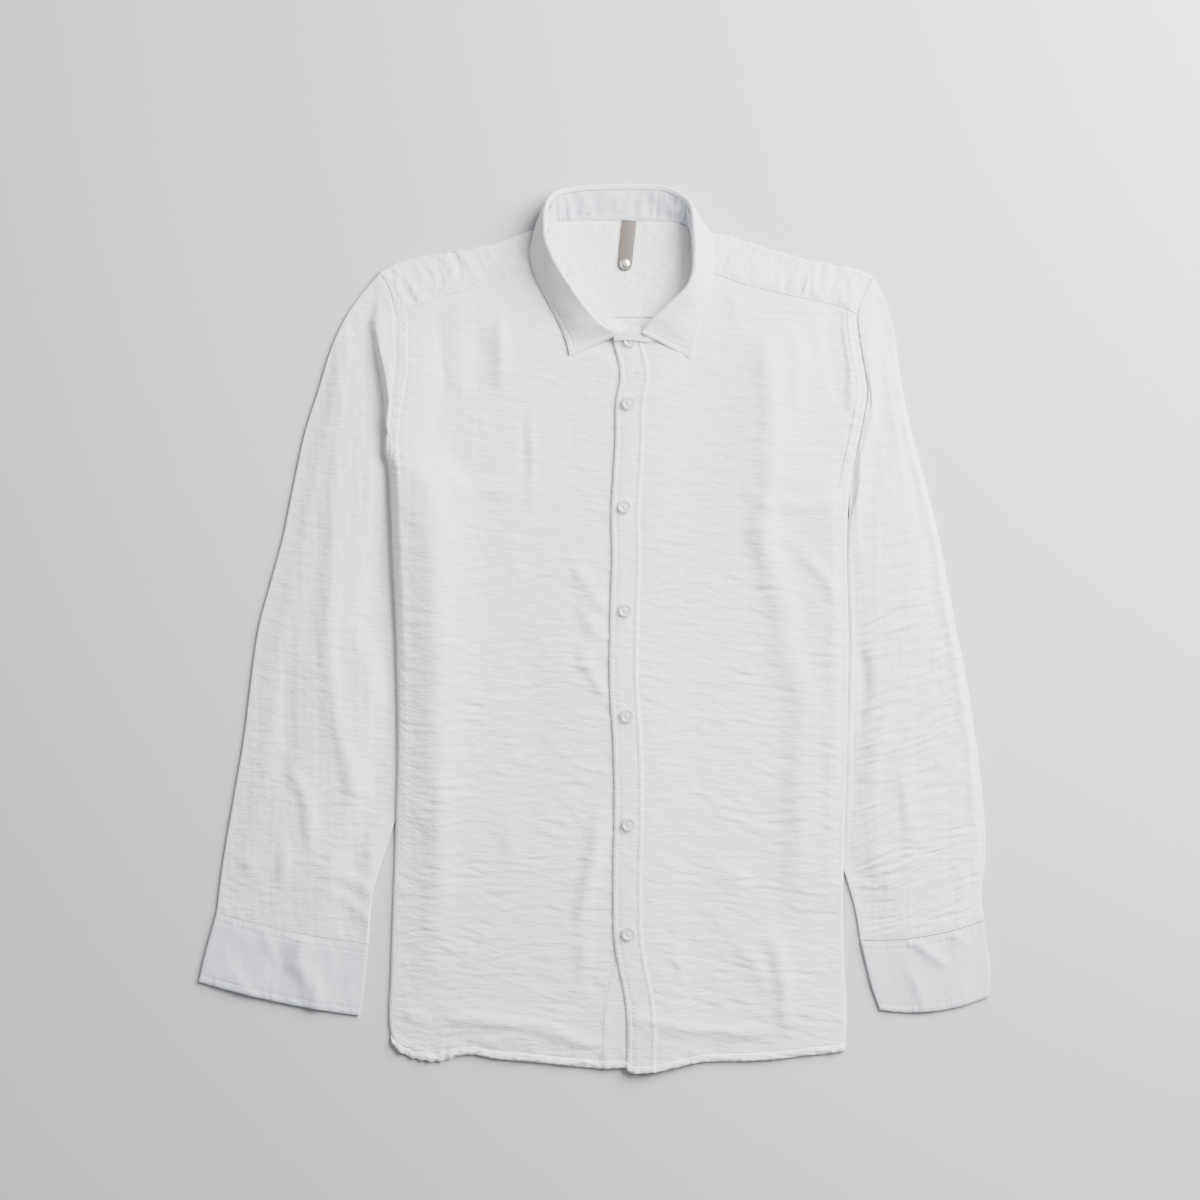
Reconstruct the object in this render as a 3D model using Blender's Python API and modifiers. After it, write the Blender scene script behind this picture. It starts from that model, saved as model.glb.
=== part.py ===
"""A crumpled linen shirt with long sleeves, buttoned down the front and laid flat on its back.

Built in metres with +Z up and +Y towards the collar. Sizes below are in millimetres and are
turned into metres where a mesh or a modifier takes them. Left and right are the wearer's, so
the right front lies on the -X side of someone who looks down on the shirt. The origin lies on
the surface that the shirt rests on, under the middle of its outline.
"""
import math

import bmesh
import bpy
import numpy as np
from mathutils import Matrix, Vector

MM = 0.001

# Cloth, seams and trimmings
WALL = 1.2                # one layer of cloth
SEAM = 0.3                # air between pieces that are sewn together or lie on each other
LAYER = WALL + SEAM
HEM_STEP = 2.5            # the back's hem ends this far short of the fronts'
PUFF = 1.7                # how far the fronts stand off the back in the middle of a panel
SHOULDER_FOLD = 3.4       # height of the fold over the shoulders
SIDE_ROLL = 2.4           # radius of the fold down each side of the body
SLEEVE_EDGE = 2.8         # height of a sleeve where it is folded flat
SLEEVE_PUFF = 2.6         # how much higher a sleeve is in its middle
CUFF_WALL = 1.6
CUFF_EDGE = 3.7
CUFF_PUFF = 1.2
TUCK_LIFT = SLEEVE_EDGE + SEAM
TUCK_REACH = 14.5         # the body lies at full height over a sleeve this far in from its side
TUCK_SLOPE = 17.0         # and comes down to the table over this much more
PLACKET_WIDTH = 26.0
BAND_WIDTH = 28.0
BUTTON_ACROSS = 12.2
BUTTON_THICK = 2.3
ARMHOLE_AIR = 1.0         # between the body's edge and the sleeve's end
COLLAR_SEAM = 4.0         # from the collar's roll down to the seam between collar and stand
TAB_WIDTH, TAB_LENGTH, TAB_THICK, TAB_LEAN = 13.0, 46.0, 1.0, 6.0
STUD_ACROSS, STUD_HEIGHT = 9.5, 2.4


def table(columns, *rows):
    """Rows of numbers as one array for each named column."""
    return dict(zip(columns.split(), np.array(rows, float).T))


def along(rows, key, column):
    """A smooth curve through one column of a table, as a function of its key column."""
    order = np.argsort(rows[key])
    keys, values = rows[key][order], rows[column][order]
    slopes = np.gradient(values, keys)

    def value(t):
        t = min(max(t, keys[0]), keys[-1])
        i = min(max(int(np.searchsorted(keys, t, side="right")) - 1, 0), len(keys) - 2)
        width = keys[i + 1] - keys[i]
        s = (t - keys[i]) / width
        start = (1 + 2 * s) * (1 - s) ** 2 * values[i] + s * (1 - s) ** 2 * width * slopes[i]
        end = s * s * (3 - 2 * s) * values[i + 1] + s * s * (s - 1) * width * slopes[i + 1]
        return float(start + end)

    return value


def by_row(rows):
    """Every column of a table as a smooth curve over the row's number."""
    count = len(next(iter(rows.values())))
    numbered = dict(rows, row=np.arange(count, dtype=float))
    return {name: along(numbered, "row", name) for name in rows}


def step(start, end, value):
    """0 before start, 1 after end, and a soft S between them; start may lie past end."""
    s = min(max((value - start) / (end - start), 0.0), 1.0)
    return s * s * (3 - 2 * s)


def mix(a, b, share):
    return a + (b - a) * share


# The body's outline, seen from above
RIGHT_SIDE = table(
    "y x",
    (320, -193.5), (310, -187), (298, -182.5), (284, -179.8), (262, -178.8), (236, -178),
    (210, -181.2), (184, -185.2), (160, -186), (140, -184.3), (108, -182.8), (60, -181),
    (8, -178.7), (-60, -177.3), (-127, -177.4), (-181, -179.5), (-244, -181.8),
    (-316, -184.2), (-352, -185.4), (-372, -183),
)
LEFT_SIDE = table(
    "y x",
    (316, 249), (304, 243.6), (292, 238.5), (282, 236), (265, 237.2), (240, 241), (215, 245),
    (190, 241.5), (160, 235.5), (134, 230), (112, 227.6), (80, 226.5), (25, 228), (-10, 228.6),
    (-64, 227.6), (-127, 226.6), (-190, 224), (-244, 223), (-300, 224.2), (-352, 226.4), (-380, 225),
)
RIGHT_HEM = table(
    "x y",
    (-186, -366), (-183, -374), (-176, -381), (-166, -386), (-156, -388.4), (-141, -389.6),
    (-124, -384.4), (-110, -383.4), (-94, -386.5), (-70, -389), (-48, -391), (-13, -394.6),
    (6, -396), (30, -395.4),
)
LEFT_HEM = table(
    "x y",
    (27, -396.4), (33, -399.8), (42, -400.4), (56, -399), (72, -395.6), (92, -391),
    (113, -389.6), (142, -389.2), (171, -387), (194, -384), (212, -382.4), (226, -380),
)
SHOULDER_RIGHT = table(
    "x y", (-193.5, 320.6), (-180, 327.5), (-166, 331.8), (-131, 337.5), (-94, 345), (-72, 352), (-38.5, 364.5)
)
SHOULDER_LEFT = table(
    "x y", (80.5, 364.5), (104, 356.6), (131, 349), (166, 338), (202, 328.6), (239, 321), (249, 316.6)
)
YOKE_SEAM_RIGHT = table(
    "x y", (-180, 284), (-171, 286), (-140, 297.5), (-104, 307), (-72, 318), (-45, 325), (-26, 329)
)
YOKE_SEAM_LEFT = table(
    "x y", (83, 328.5), (107, 319.4), (134, 309.6), (167, 301.2), (202, 294), (222, 289), (236, 282.6)
)
BACK_SEAM_Y = 280.0

# The neck's edge on the fronts, as shares of each front's width from its free edge
RIGHT_NECK = table(
    "share y",
    (0, 264.5), (0.07, 270.5), (0.126, 280), (0.188, 286.4), (0.247, 300.3), (0.28, 316), (0.291, 327.5)
)
LEFT_NECK = table(
    "share y",
    (0, 259.6), (0.0616, 259.8), (0.1232, 260), (0.17, 261.8), (0.218, 266.6), (0.255, 273.8),
    (0.283, 284), (0.30, 326.6),
)
NECK_BACK = table(
    "x y", (-38.5, 363), (-33, 366.6), (-26, 367.4), (22, 368), (64, 367), (73, 365.4), (80.5, 362)
)

# The placket's left edge, and the line where the button band is stitched down
PLACKET_EDGE = table(
    "y x",
    (257, 16.8), (247, 19.6), (236, 22.2), (225, 22.9), (207, 19.6), (172, 18.6), (138, 16.8),
    (107, 15), (62, 15.6), (20, 14.2), (-60, 13.8), (-101, 16.6), (-172, 17.5), (-240, 16.6),
    (-284, 18), (-308, 22), (-326, 26), (-352, 29), (-395, 29),
)
BAND_STITCH = table(
    "y x",
    (266, 13), (240, 17), (172, 15), (80, 12.6), (-60, 12), (-172, 14.6), (-240, 15.2), (-284, 15),
    (-303, 13), (-321, 8), (-336, 5), (-352, 3.2), (-394, 2.6),
)

# The body's largest soft folds: a line from one end to the other, its width and its height
BODY_FOLDS = table(
    "x0 y0 x1 y1 width height",
    (-139, 286, -139, 214, 7, -1.1),
    (-92, 300, -92, 218, 8, -1.2),
    (-75, 300, -76, 212, 7, 1.0),
    (-61, 180, -62, 64, 8, -1.2),
    (-50, 180, -52, 70, 8, 1.0),
    (-2, 248, 14, 232, 16, 1.2),
    (-2, 60, 8, 10, 18, 1.0),
    (-2, -178, 0, -262, 14, -1.2),
    (-126, -358, -96, -366, 9, -0.9),
    (-120, -60, -70, -150, 26, 0.8),
    (-130, -200, -60, -230, 20, -0.8),
    (139, 280, 140, 145, 9, -1.3),
    (158, 280, 158, 150, 8, 1.1),
    (212, 276, 214, 220, 6, -1.2),
    (90, 60, 160, 20, 26, 0.9),
    (80, -120, 170, -150, 24, -0.8),
    (158, -290, 176, -336, 13, -1.1),
    (100, -240, 150, -330, 20, 0.7),
)
RIGHT_SLEEVE_FOLDS = table(
    "x0 y0 x1 y1 width height",
    (-202, 282, -196, 237, 4.5, -1.7),
    (-196, 237, -187, 158, 4.5, -1.7),
    (-225, 262, -220, 134, 8, 1.0),
    (-220, 134, -232, 62, 8, 1.0),
    (-232, 62, -234, -46, 8, 0.9),
    (-234, -46, -222, -136, 9, 0.9),
    (-239, 116, -240, 60, 9, -1.0),
    (-248, 26, -248, -20, 9, -1.0),
    (-270, -82, -272, -170, 12, -1.1),
    (-288, -198, -290, -226, 9, -1.0),
    (-232, -226, -208, -244, 6, -0.8),
)
LEFT_SLEEVE_FOLDS = table(
    "x0 y0 x1 y1 width height",
    (256, 206, 257, 124, 6, -1.3),
    (241, 178, 240, 134, 6, 0.9),
    (243, -10, 243, -80, 9, -1.2),
    (278, -54, 262, -84, 8, 1.1),
    (262, -84, 257, -118, 8, 1.0),
    (270, -136, 270, -208, 12, -1.2),
    (300, 60, 290, -20, 14, 0.9),
    (310, -150, 318, -220, 12, 0.8),
)

# Sections across each sleeve and cuff: its outer and inner fold, and how far its middle bows down
RIGHT_SLEEVE = table(
    "out_x out_y in_x in_y bow",
    (-193.9, 320.6, -185.7, 147, 0), (-210, 301, -185.0, 132, 0), (-225, 279, -183.9, 114, 0),
    (-238, 250, -179, 93, 0), (-249, 214, -173, 68, 0), (-261, 176, -170, 40, 0),
    (-272, 125, -168.5, 8, 0), (-281, 81, -168, -26, 0), (-292.5, 39, -167.5, -60, 0),
    (-303, -1, -167.5, -95, 0), (-310, -51, -168, -125, 0), (-315.5, -96, -171.5, -148, 0),
    (-323, -141, -178, -168, 0), (-331, -187, -188.5, -200, 0), (-336.5, -223, -199.5, -238, 0),
    (-340.4, -255.2, -203.8, -283.7, 3),
)
LEFT_SLEEVE = table(
    "out_x out_y in_x in_y bow",
    (249.4, 316.6, 230.6, 133, 0), (260, 298, 229.0, 117, 0), (268.6, 268, 228.0, 99, 0),
    (274.6, 226, 222, 78, 0), (284, 180, 218, 53, 0), (297, 132, 217, 24, 0),
    (308.7, 84, 217.5, -10, 0), (317, 41, 218, -45, 0), (325, -1, 217.5, -80, 0),
    (333, -40, 217, -115, 0), (339.3, -79, 216.5, -150, 0), (345.6, -124, 216.5, -180, 0),
    (350, -168, 219.5, -205, 0), (351, -206, 227, -228, 2), (347.6, -238, 234, -253, 4),
    (349.6, -262.4, 238.5, -280.1, 5.5),
)
RIGHT_CUFF = table(
    "out_x out_y in_x in_y bow",
    (-340.5, -255.6, -203.8, -284.1, 3), (-347.4, -280, -205.2, -303.6, 3),
    (-352.4, -299, -207.6, -325, 3), (-356.4, -317.3, -211.5, -347.9, 3),
)
LEFT_CUFF = table(
    "out_x out_y in_x in_y bow",
    (349.7, -263.1, 238.5, -280.8, 5.5), (352, -282, 242.6, -298, 6),
    (355.6, -309, 248.6, -322, 6.5), (354.6, -330.6, 256, -342.6, 7),
)

# Sections round the neck from the right end to the left: the neck seam, the roll and the outer
# edge of the turned-down part, each with its height, and how tight the roll is
COLLAR = table(
    "neck_x neck_y neck_z roll_x roll_y roll_z edge_x edge_y edge_z tight",
    (33.2, 268.2, 6.3, 20.6, 263.0, 11.5, -22.4, 245.2, 9.5, 1.6),
    (15.3, 278.1, 6.1, 5.4, 271.4, 17, -26, 258.9, 8, 1.8),
    (-0.9, 285.7, 5.1, -6.2, 285.1, 22.5, -33.2, 275.1, 7, 2),
    (-14.4, 299.6, 4.8, -17.7, 301.5, 27, -41.3, 290.4, 6.5, 2.2),
    (-25.1, 317.6, 4.9, -28.4, 318.8, 31, -49.4, 306.6, 6.5, 2.4),
    (-31.4, 334.6, 5.0, -37.2, 334.4, 34, -55.6, 321.8, 6.5, 2.4),
    (-35.0, 348.8, 5.2, -42.5, 349.5, 34, -58.3, 336.2, 6.5, 2.4),
    (-36.6, 359.7, 4.9, -43.5, 363.2, 31, -56.5, 348.8, 6.5, 2.2),
    (-35.6, 364.9, 3.2, -42.7, 375.5, 26, -53.0, 360.4, 5.5, 1.9),
    (-33.3, 367.4, 2.3, -39.2, 385.3, 20, -44.9, 368.6, 2.5, 1.5),
    (-26.1, 368.2, 2.1, -31.3, 392.5, 14, -35.1, 371.4, 1.2, 1.2),
    (-9.0, 368.6, 2.1, -13.4, 396.3, 11, -13.5, 372.4, 0.9, 1.1),
    (22.5, 368.8, 2.1, 22.4, 398.2, 10, 22.5, 372.6, 0.9, 1.1),
    (51.3, 368.2, 2.1, 53.8, 397.4, 11, 54.0, 372.2, 0.9, 1.1),
    (63.8, 367.4, 2.1, 68.9, 393.4, 14, 71.1, 371.2, 1.2, 1.2),
    (72.8, 366.0, 2.4, 79.5, 386.2, 20, 83.6, 368.6, 2.5, 1.5),
    (77.6, 363.0, 3.4, 84.6, 378.2, 26, 94.3, 365.1, 5.5, 1.9),
    (79.0, 357.9, 4.9, 86.2, 366.8, 31, 102.3, 356.9, 6.5, 2.2),
    (81.9, 347.9, 5.2, 86.8, 352.2, 34, 106.4, 343.4, 6.5, 2.4),
    (84.4, 334.5, 5.0, 87.2, 336.2, 34, 106.8, 329.0, 6.5, 2.4),
    (86.6, 322.0, 4.9, 86.6, 320.3, 33, 106.4, 314.7, 6.5, 2.4),
    (87.6, 309.5, 4.9, 81.8, 306.5, 30, 104.1, 300.3, 6.5, 2),
    (85.6, 295.1, 5.0, 73.0, 297.2, 26, 99.6, 285.0, 7, 1.6),
    (79.2, 280.2, 5.2, 59.8, 285.3, 20.5, 94.2, 269.7, 7.5, 1.3),
    (66.0, 264.6, 7.6, 48.3, 273.3, 15.5, 89.7, 256.1, 8.5, 1.2),
    (49.3, 258.6, 10.6, 41.2, 263.8, 13.4, 85.2, 243.4, 10, 1.1),
)
# Past the collar's left point the stand runs on alone, across the placket's top; the last
# column is how far below the roll its upper edge ends
STAND_END = table(
    "neck_x neck_y neck_z roll_x roll_y roll_z below",
    (37.4, 257.6, 12.0, 39.2, 270.0, 13.0, 6.0),
    (27.4, 258.2, 12.1, 29.2, 267.0, 13.3, 1.5),
    (17.2, 258.2, 12.1, 18.8, 262.0, 12.9, 0.0),
)

BUTTONS = table("x y", (30.2, 202.1), (26.8, 109.4), (27.3, 16.4), (29, -78.3), (30.2, -175.4), (30.2, -273.4))
COLLAR_BUTTON = (31.6, 258.4)
TAB_TOP = (31.0, 367.2)

right_side = along(RIGHT_SIDE, "y", "x")
left_side = along(LEFT_SIDE, "y", "x")
right_hem = along(RIGHT_HEM, "x", "y")
left_hem = along(LEFT_HEM, "x", "y")
placket_edge = along(PLACKET_EDGE, "y", "x")
band_stitch = along(BAND_STITCH, "y", "x")
shoulder_right = along(SHOULDER_RIGHT, "x", "y")
shoulder_left = along(SHOULDER_LEFT, "x", "y")
yoke_seam_right = along(YOKE_SEAM_RIGHT, "x", "y")
yoke_seam_left = along(YOKE_SEAM_LEFT, "x", "y")
neck_back = along(NECK_BACK, "x", "y")


# Heights. The back lies on the sleeves' inner sides, and each layer of the body on the one below.

def relief(x, y, folds):
    """What the listed soft ridges and troughs add at a point."""
    total = 0.0
    for x0, y0, x1, y1, width, height in zip(*(folds[name] for name in "x0 y0 x1 y1 width height".split())):
        length = math.hypot(x1 - x0, y1 - y0)
        run = ((x - x0) * (x1 - x0) + (y - y0) * (y1 - y0)) / length
        across = ((x - x0) * (y1 - y0) - (y - y0) * (x1 - x0)) / length
        beyond = max(-run, run - length, 0.0)
        total += height * math.exp(-(across / width) ** 2 - (beyond / (1.5 * width)) ** 2)
    return total


def side_lift(x, y):
    """How far the back is raised where it lies over the sleeves' inner sides."""
    right = step(165, 127, y) * step(-228, -185, y)
    left = step(150, 112, y) * step(-270, -228, y)
    near_right = step(TUCK_REACH + TUCK_SLOPE, TUCK_REACH, x - right_side(y))
    near_left = step(TUCK_REACH + TUCK_SLOPE, TUCK_REACH, left_side(y) - x)
    return TUCK_LIFT * (right * near_right + left * near_left)


def shoulder(x):
    """Y of the fold over the shoulder, level across the neck."""
    return shoulder_right(x) if x < 22 else shoulder_left(x)


def puff(x, y):
    """Air between the back and the fronts: none at the sides, the hem and the shoulder."""
    inside = min(x - right_side(y), left_side(y) - x)
    hem = right_hem(x) if x < 28 else left_hem(x)
    room = step(2, 40, inside) * step(4, 45, y - hem) * step(2, 50, shoulder(x) - y)
    neck = step(30, 85, math.hypot(x - 26, 0.8 * (y - 310)))
    waves = relief(x, y, BODY_FOLDS) * step(4, 22, inside) * step(4, 16, y - hem)
    return max((PUFF * room + waves) * mix(0.3, 1.0, neck) + 0.5, 0.5) * step(0, 3.5, inside)


def front_under(x, y):
    """Underside of a front, which lies on the back."""
    return side_lift(x, y) + LAYER + puff(x, y)


def overlap_rise(x, y):
    """How far the left front is raised where the right front and its band lie under it."""
    return 2 * LAYER * step(PLACKET_WIDTH + 20, PLACKET_WIDTH + 5, x - placket_edge(y))


def roll(share, turn, radius):
    """Inward and downward travel at a share of a fold that turns this much of a right angle."""
    angle = max(turn, 0.01) * math.pi / 2
    length = radius * math.pi / 2
    out = length * (math.sin(angle) - math.sin(angle * share)) / angle
    down = length * (1 - math.cos(angle * share)) / angle
    return out, down


# Meshes

collection = bpy.data.collections.new("crumpled_linen_shirt")


def clear_scene():
    for obj in list(bpy.data.objects):
        bpy.data.objects.remove(obj, do_unlink=True)
    bpy.context.scene.collection.children.link(collection)


def material(name, color, roughness, metallic=0.0, transmission=0.0):
    made = bpy.data.materials.new(name)
    made.use_nodes = True
    shader = made.node_tree.nodes["Principled BSDF"]
    shader.inputs["Base Color"].default_value = (*color, 1)
    shader.inputs["Roughness"].default_value = roughness
    shader.inputs["Metallic"].default_value = metallic
    shader.inputs["Transmission Weight"].default_value = transmission
    return made


def finish(name, mesh, look):
    """One named object in the shirt's collection, shaded smooth between its sharp edges."""
    mesh.materials.append(look)
    mesh.shade_smooth()
    mesh.set_sharp_from_angle(angle=math.radians(50))
    obj = bpy.data.objects.new(name, mesh)
    collection.objects.link(obj)
    return obj


def cloth(name, columns, rows, place, look, wall=WALL, side=1, cut=None, ring=False):
    """A wall of cloth on a grid: place(column, row) gives each point in millimetres.

    The wall grows along the grid's normals where side is 1, against them where it is -1 and
    both ways where it is 0. cut(column, row) drops faces, and a ring joins its two ends.
    """
    grid = bmesh.new()
    bmesh.ops.create_grid(grid, x_segments=columns, y_segments=rows, size=0.5)
    if cut:
        middles = {face: face.calc_center_median() + Vector((0.5, 0.5, 0)) for face in grid.faces}
        gone = [face for face, at in middles.items() if cut(int(at.x * columns), int(at.y * rows))]
        bmesh.ops.delete(grid, geom=gone, context="FACES")
    for vert in grid.verts:
        column, row = round((vert.co.x + 0.5) * columns), round((vert.co.y + 0.5) * rows)
        vert.co = Vector(place(column % columns if ring else column, row)) * MM
    if ring:
        bmesh.ops.remove_doubles(grid, verts=grid.verts, dist=1e-7)
    mesh = bpy.data.meshes.new(name)
    grid.to_mesh(mesh)
    grid.free()
    obj = finish(name, mesh, look)
    solid = obj.modifiers.new("Cloth wall", "SOLIDIFY")
    solid.thickness = wall * MM
    solid.offset = side
    solid.use_even_offset = True
    solid.use_quality_normals = True
    return obj


# Body

FRONT_ROWS = 34
ROLL_COLUMNS = 4
STRIP_COLUMNS = 2         # the placket and the band each cover this many columns of their front
FRONT_SHARES = (0.36, 0.43, 0.50, 0.57, 0.64, 0.71, 0.78, 0.85, 0.89, 0.93, 0.967)
RIGHT_BODY_TOP, LEFT_BODY_TOP = 284.0, 282.6
ARMHOLE_END_RIGHT, ARMHOLE_END_LEFT = (162, 140), (148, 124)


def front_shape(side_x, edge_x, hem_y, neck, yoke_y, side_top, armhole_end, rise, sign):
    """A front's columns and its points, from its free edge to the fold down the body's side.

    sign is 1 for the left front, whose columns run along +X, and -1 for the right one.
    """
    neck_shares = list(neck["share"])
    shares = neck_shares + list(FRONT_SHARES)
    columns = len(shares) + ROLL_COLUMNS
    neck_y = along(neck, "share", "y")

    def top_of(share):
        """Top of a column, found where it meets the neck's edge or the yoke's seam."""
        if share <= neck_shares[-1]:
            return neck_y(share)
        top = side_top
        for _ in range(4):
            top = yoke_y(mix(edge_x(top), side_x(top), share)) - SEAM
        return top

    def point(column, row):
        column = column if sign > 0 else columns - column
        flat = column < len(shares)
        share = shares[column] if flat else 1.0
        bottom = hem_y(mix(edge_x(-380), side_x(-370), share))
        y = mix(bottom, top_of(share), row / FRONT_ROWS)
        x = mix(edge_x(y), side_x(y) - sign * SIDE_ROLL, share)
        down = 0.0
        if not flat:
            inward, down = roll((column - len(shares)) / ROLL_COLUMNS, step(*armhole_end, y), SIDE_ROLL)
            x = side_x(y) - sign * inward
        return x, y, front_under(x, y) + rise(x, y) + WALL - down

    return columns, point


def make_fronts(linen):
    """Both fronts, and the strips along their free edges, which are the fronts' points moved up."""
    for name, strip, sign, shape in (
        ("front_right", "button_band", -1, (
            right_side, lambda y: band_stitch(y) + BAND_WIDTH, right_hem, RIGHT_NECK,
            yoke_seam_right, RIGHT_BODY_TOP, ARMHOLE_END_RIGHT, lambda x, y: 0.0, -1,
        )),
        ("front_left", "placket", 1, (
            left_side, placket_edge, left_hem, LEFT_NECK,
            yoke_seam_left, LEFT_BODY_TOP, ARMHOLE_END_LEFT, overlap_rise, 1,
        )),
    ):
        columns, point = front_shape(*shape)
        first = 0 if sign > 0 else columns - STRIP_COLUMNS

        def raised(column, row):
            x, y, top = point(column + first, row)
            return x, y, top + SEAM

        cloth(name, columns, FRONT_ROWS, point, linen, side=-1)
        cloth(strip, STRIP_COLUMNS, FRONT_ROWS, raised, linen, side=1)


def make_back(linen):
    near_side = (0, 7, TUCK_REACH, TUCK_REACH + TUCK_SLOPE / 2, TUCK_REACH + TUCK_SLOPE)
    middle_columns = 7
    columns = middle_columns + 2 * (len(near_side) - 1)
    levels = [mix(-398, 92, i / 16) for i in range(16)]
    levels += [mix(92, BACK_SEAM_Y - SEAM, i / 13) for i in range(14)]
    inset = SIDE_ROLL + 0.6
    # The back's edge goes in a little above the end of each armhole, before the front turns down
    turn = 16

    def place(column, row):
        y = levels[row]
        start = right_side(y) + inset * step(ARMHOLE_END_RIGHT[0] + turn, ARMHOLE_END_RIGHT[1] + turn, y)
        end = left_side(y) - inset * step(ARMHOLE_END_LEFT[0] + turn, ARMHOLE_END_LEFT[1] + turn, y)
        if column < len(near_side):
            x = start + near_side[column]
        elif column > columns - len(near_side):
            x = end - near_side[columns - column]
        else:
            share = (column - len(near_side) + 1) / middle_columns
            x = mix(start + near_side[-1], end - near_side[-1], share)
        hem = (right_hem(x) if x < 28 else left_hem(x)) + HEM_STEP
        y = mix(hem, y, step(-400, -300, y))
        return x, y, side_lift(x, y)

    cloth("back", columns, len(levels) - 1, place, linen, side=1)


def make_yoke(linen):
    """One piece over both shoulders: a strip in front of each fold and the whole width behind."""
    block, strip_rows, roll_rows, back_rows = 7, 3, 4, 3
    columns, rows = 3 * block, strip_rows + roll_rows + back_rows
    fold_radius = SHOULDER_FOLD / 2

    def shoulder_column(share, seam, fold, seam_y, fold_y, back_x):
        """The path over one shoulder at a share of the way along it."""
        seam_x, fold_x = mix(*seam, share), mix(*fold, share)
        return (seam_x, seam_y(seam_x)), (fold_x, fold_y(fold_x)), mix(*back_x, share)

    def place(column, row):
        part, share = divmod(column, block)
        if part == 0 or column == block:
            share = column / block
            seam, fold, back_x = shoulder_column(
                share, (-179.8, -26), (-193.5, -38.5), yoke_seam_right, shoulder_right, (-179.6, -38.5)
            )
        elif column < 2 * block:
            x = mix(-38.5, 80.5, share / block)
            seam = fold = (x, neck_back(x) + fold_radius)
            back_x = x
        else:
            share = (column - 2 * block) / block
            seam, fold, back_x = shoulder_column(
                share, (83, 236), (80.5, 249), yoke_seam_left, shoulder_left, (80.5, 236.4)
            )
        if row <= strip_rows:
            up = row / strip_rows
            x, y = mix(seam[0], fold[0], up), mix(seam[1], fold[1] - fold_radius, up)
            z = mix(front_under(*seam) + WALL, SHOULDER_FOLD, step(0, 1, up))
        elif row <= strip_rows + roll_rows:
            angle = math.pi * (row - strip_rows) / roll_rows
            x, y = fold[0], fold[1] - fold_radius + fold_radius * math.sin(angle)
            z = fold_radius * (1 + math.cos(angle))
        else:
            down = (row - strip_rows - roll_rows) / back_rows
            x, y, z = mix(fold[0], back_x, down), mix(fold[1] - fold_radius, BACK_SEAM_Y, down), 0.0
        # The outer ends follow the armholes
        if column in (0, columns):
            x = right_side(y) + SEAM if column == 0 else left_side(y) - SEAM
        return x, y, z

    def neck_hole(column, row):
        return block <= column < 2 * block and row < strip_rows + roll_rows

    cloth("yoke", columns, rows, place, linen, side=-1, cut=neck_hole)


# Sleeves and cuffs

def flat_tube(name, rows, segments, look, wall, edge, rise, folds, armhole, sign):
    """A sleeve or cuff pressed flat: rings of cloth between its outer and its inner fold."""
    section = by_row(rows)
    last = len(rows["bow"]) - 1
    top_points, under_points = 11, 9
    round_in = edge / 2
    columns = top_points + under_points + 4

    def across(column, length):
        """Distance from the outer fold, and whether the point is on the top, an edge or below."""
        if column <= top_points:
            return mix(round_in, length - round_in, column / top_points), "top"
        if column == top_points + 1:
            return length, "edge"
        if column <= top_points + under_points + 2:
            return mix(length - round_in, round_in, (column - top_points - 2) / under_points), "under"
        return 0.0, "edge"

    def place(column, row):
        column = column if sign > 0 else (columns - column) % columns
        number = last * row / segments
        outer = Vector((section["out_x"](number), section["out_y"](number)))
        inner = Vector((section["in_x"](number), section["in_y"](number)))
        length = (inner - outer).length
        reach, kind = across(column, length)
        share = reach / length
        at = outer.lerp(inner, share)
        at.y -= section["bow"](number) * 4 * share * (1 - share)
        if armhole:
            first_x, first_y = rows["out_x"][0], rows["out_y"][0]
            y = mix(first_y, rows["in_y"][0], share)
            chord = mix(first_x, rows["in_x"][0], share)
            at.x += (armhole(y) + ARMHOLE_AIR * sign - chord) * step(3.5, 0, number)
        if kind == "under":
            height = 0.0
        elif kind == "edge":
            height = edge / 2
        else:
            inside = min(step(2, 30, reach), step(19, 45, length - reach))
            ending = step(-0.5, 1.5, number) if armhole else 1.0
            height = edge + (rise * inside + relief(at.x, at.y, folds) * inside) * ending
        return at.x, at.y, max(height, edge if kind == "top" else 0.0)

    return cloth(name, columns, segments, place, look, wall=wall, side=-1, ring=True)


def make_sleeves(linen):
    for name, rows, folds, armhole, sign in (
        ("sleeve_right", RIGHT_SLEEVE, RIGHT_SLEEVE_FOLDS, right_side, -1),
        ("sleeve_left", LEFT_SLEEVE, LEFT_SLEEVE_FOLDS, left_side, 1),
    ):
        flat_tube(name, rows, 22, linen, WALL, SLEEVE_EDGE, SLEEVE_PUFF, folds, armhole, sign)


def make_cuffs(poplin):
    folds = table("x0 y0 x1 y1 width height", (-278, -275, -284, -330, 8, -0.6), (262, -290, 268, -335, 7, -0.6))
    for name, rows, sign in (("cuff_right", RIGHT_CUFF, -1), ("cuff_left", LEFT_CUFF, 1)):
        flat_tube(name, rows, 4, poplin, CUFF_WALL, CUFF_EDGE, CUFF_PUFF, folds, None, sign)


# Collar

def collar_points(section, number):
    """The neck seam, the roll and the outer edge at one section round the neck."""
    return tuple(
        Vector([section[f"{part}_{axis}"](number) for axis in "xyz"]) for part in ("neck", "roll", "edge")
    )


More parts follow.
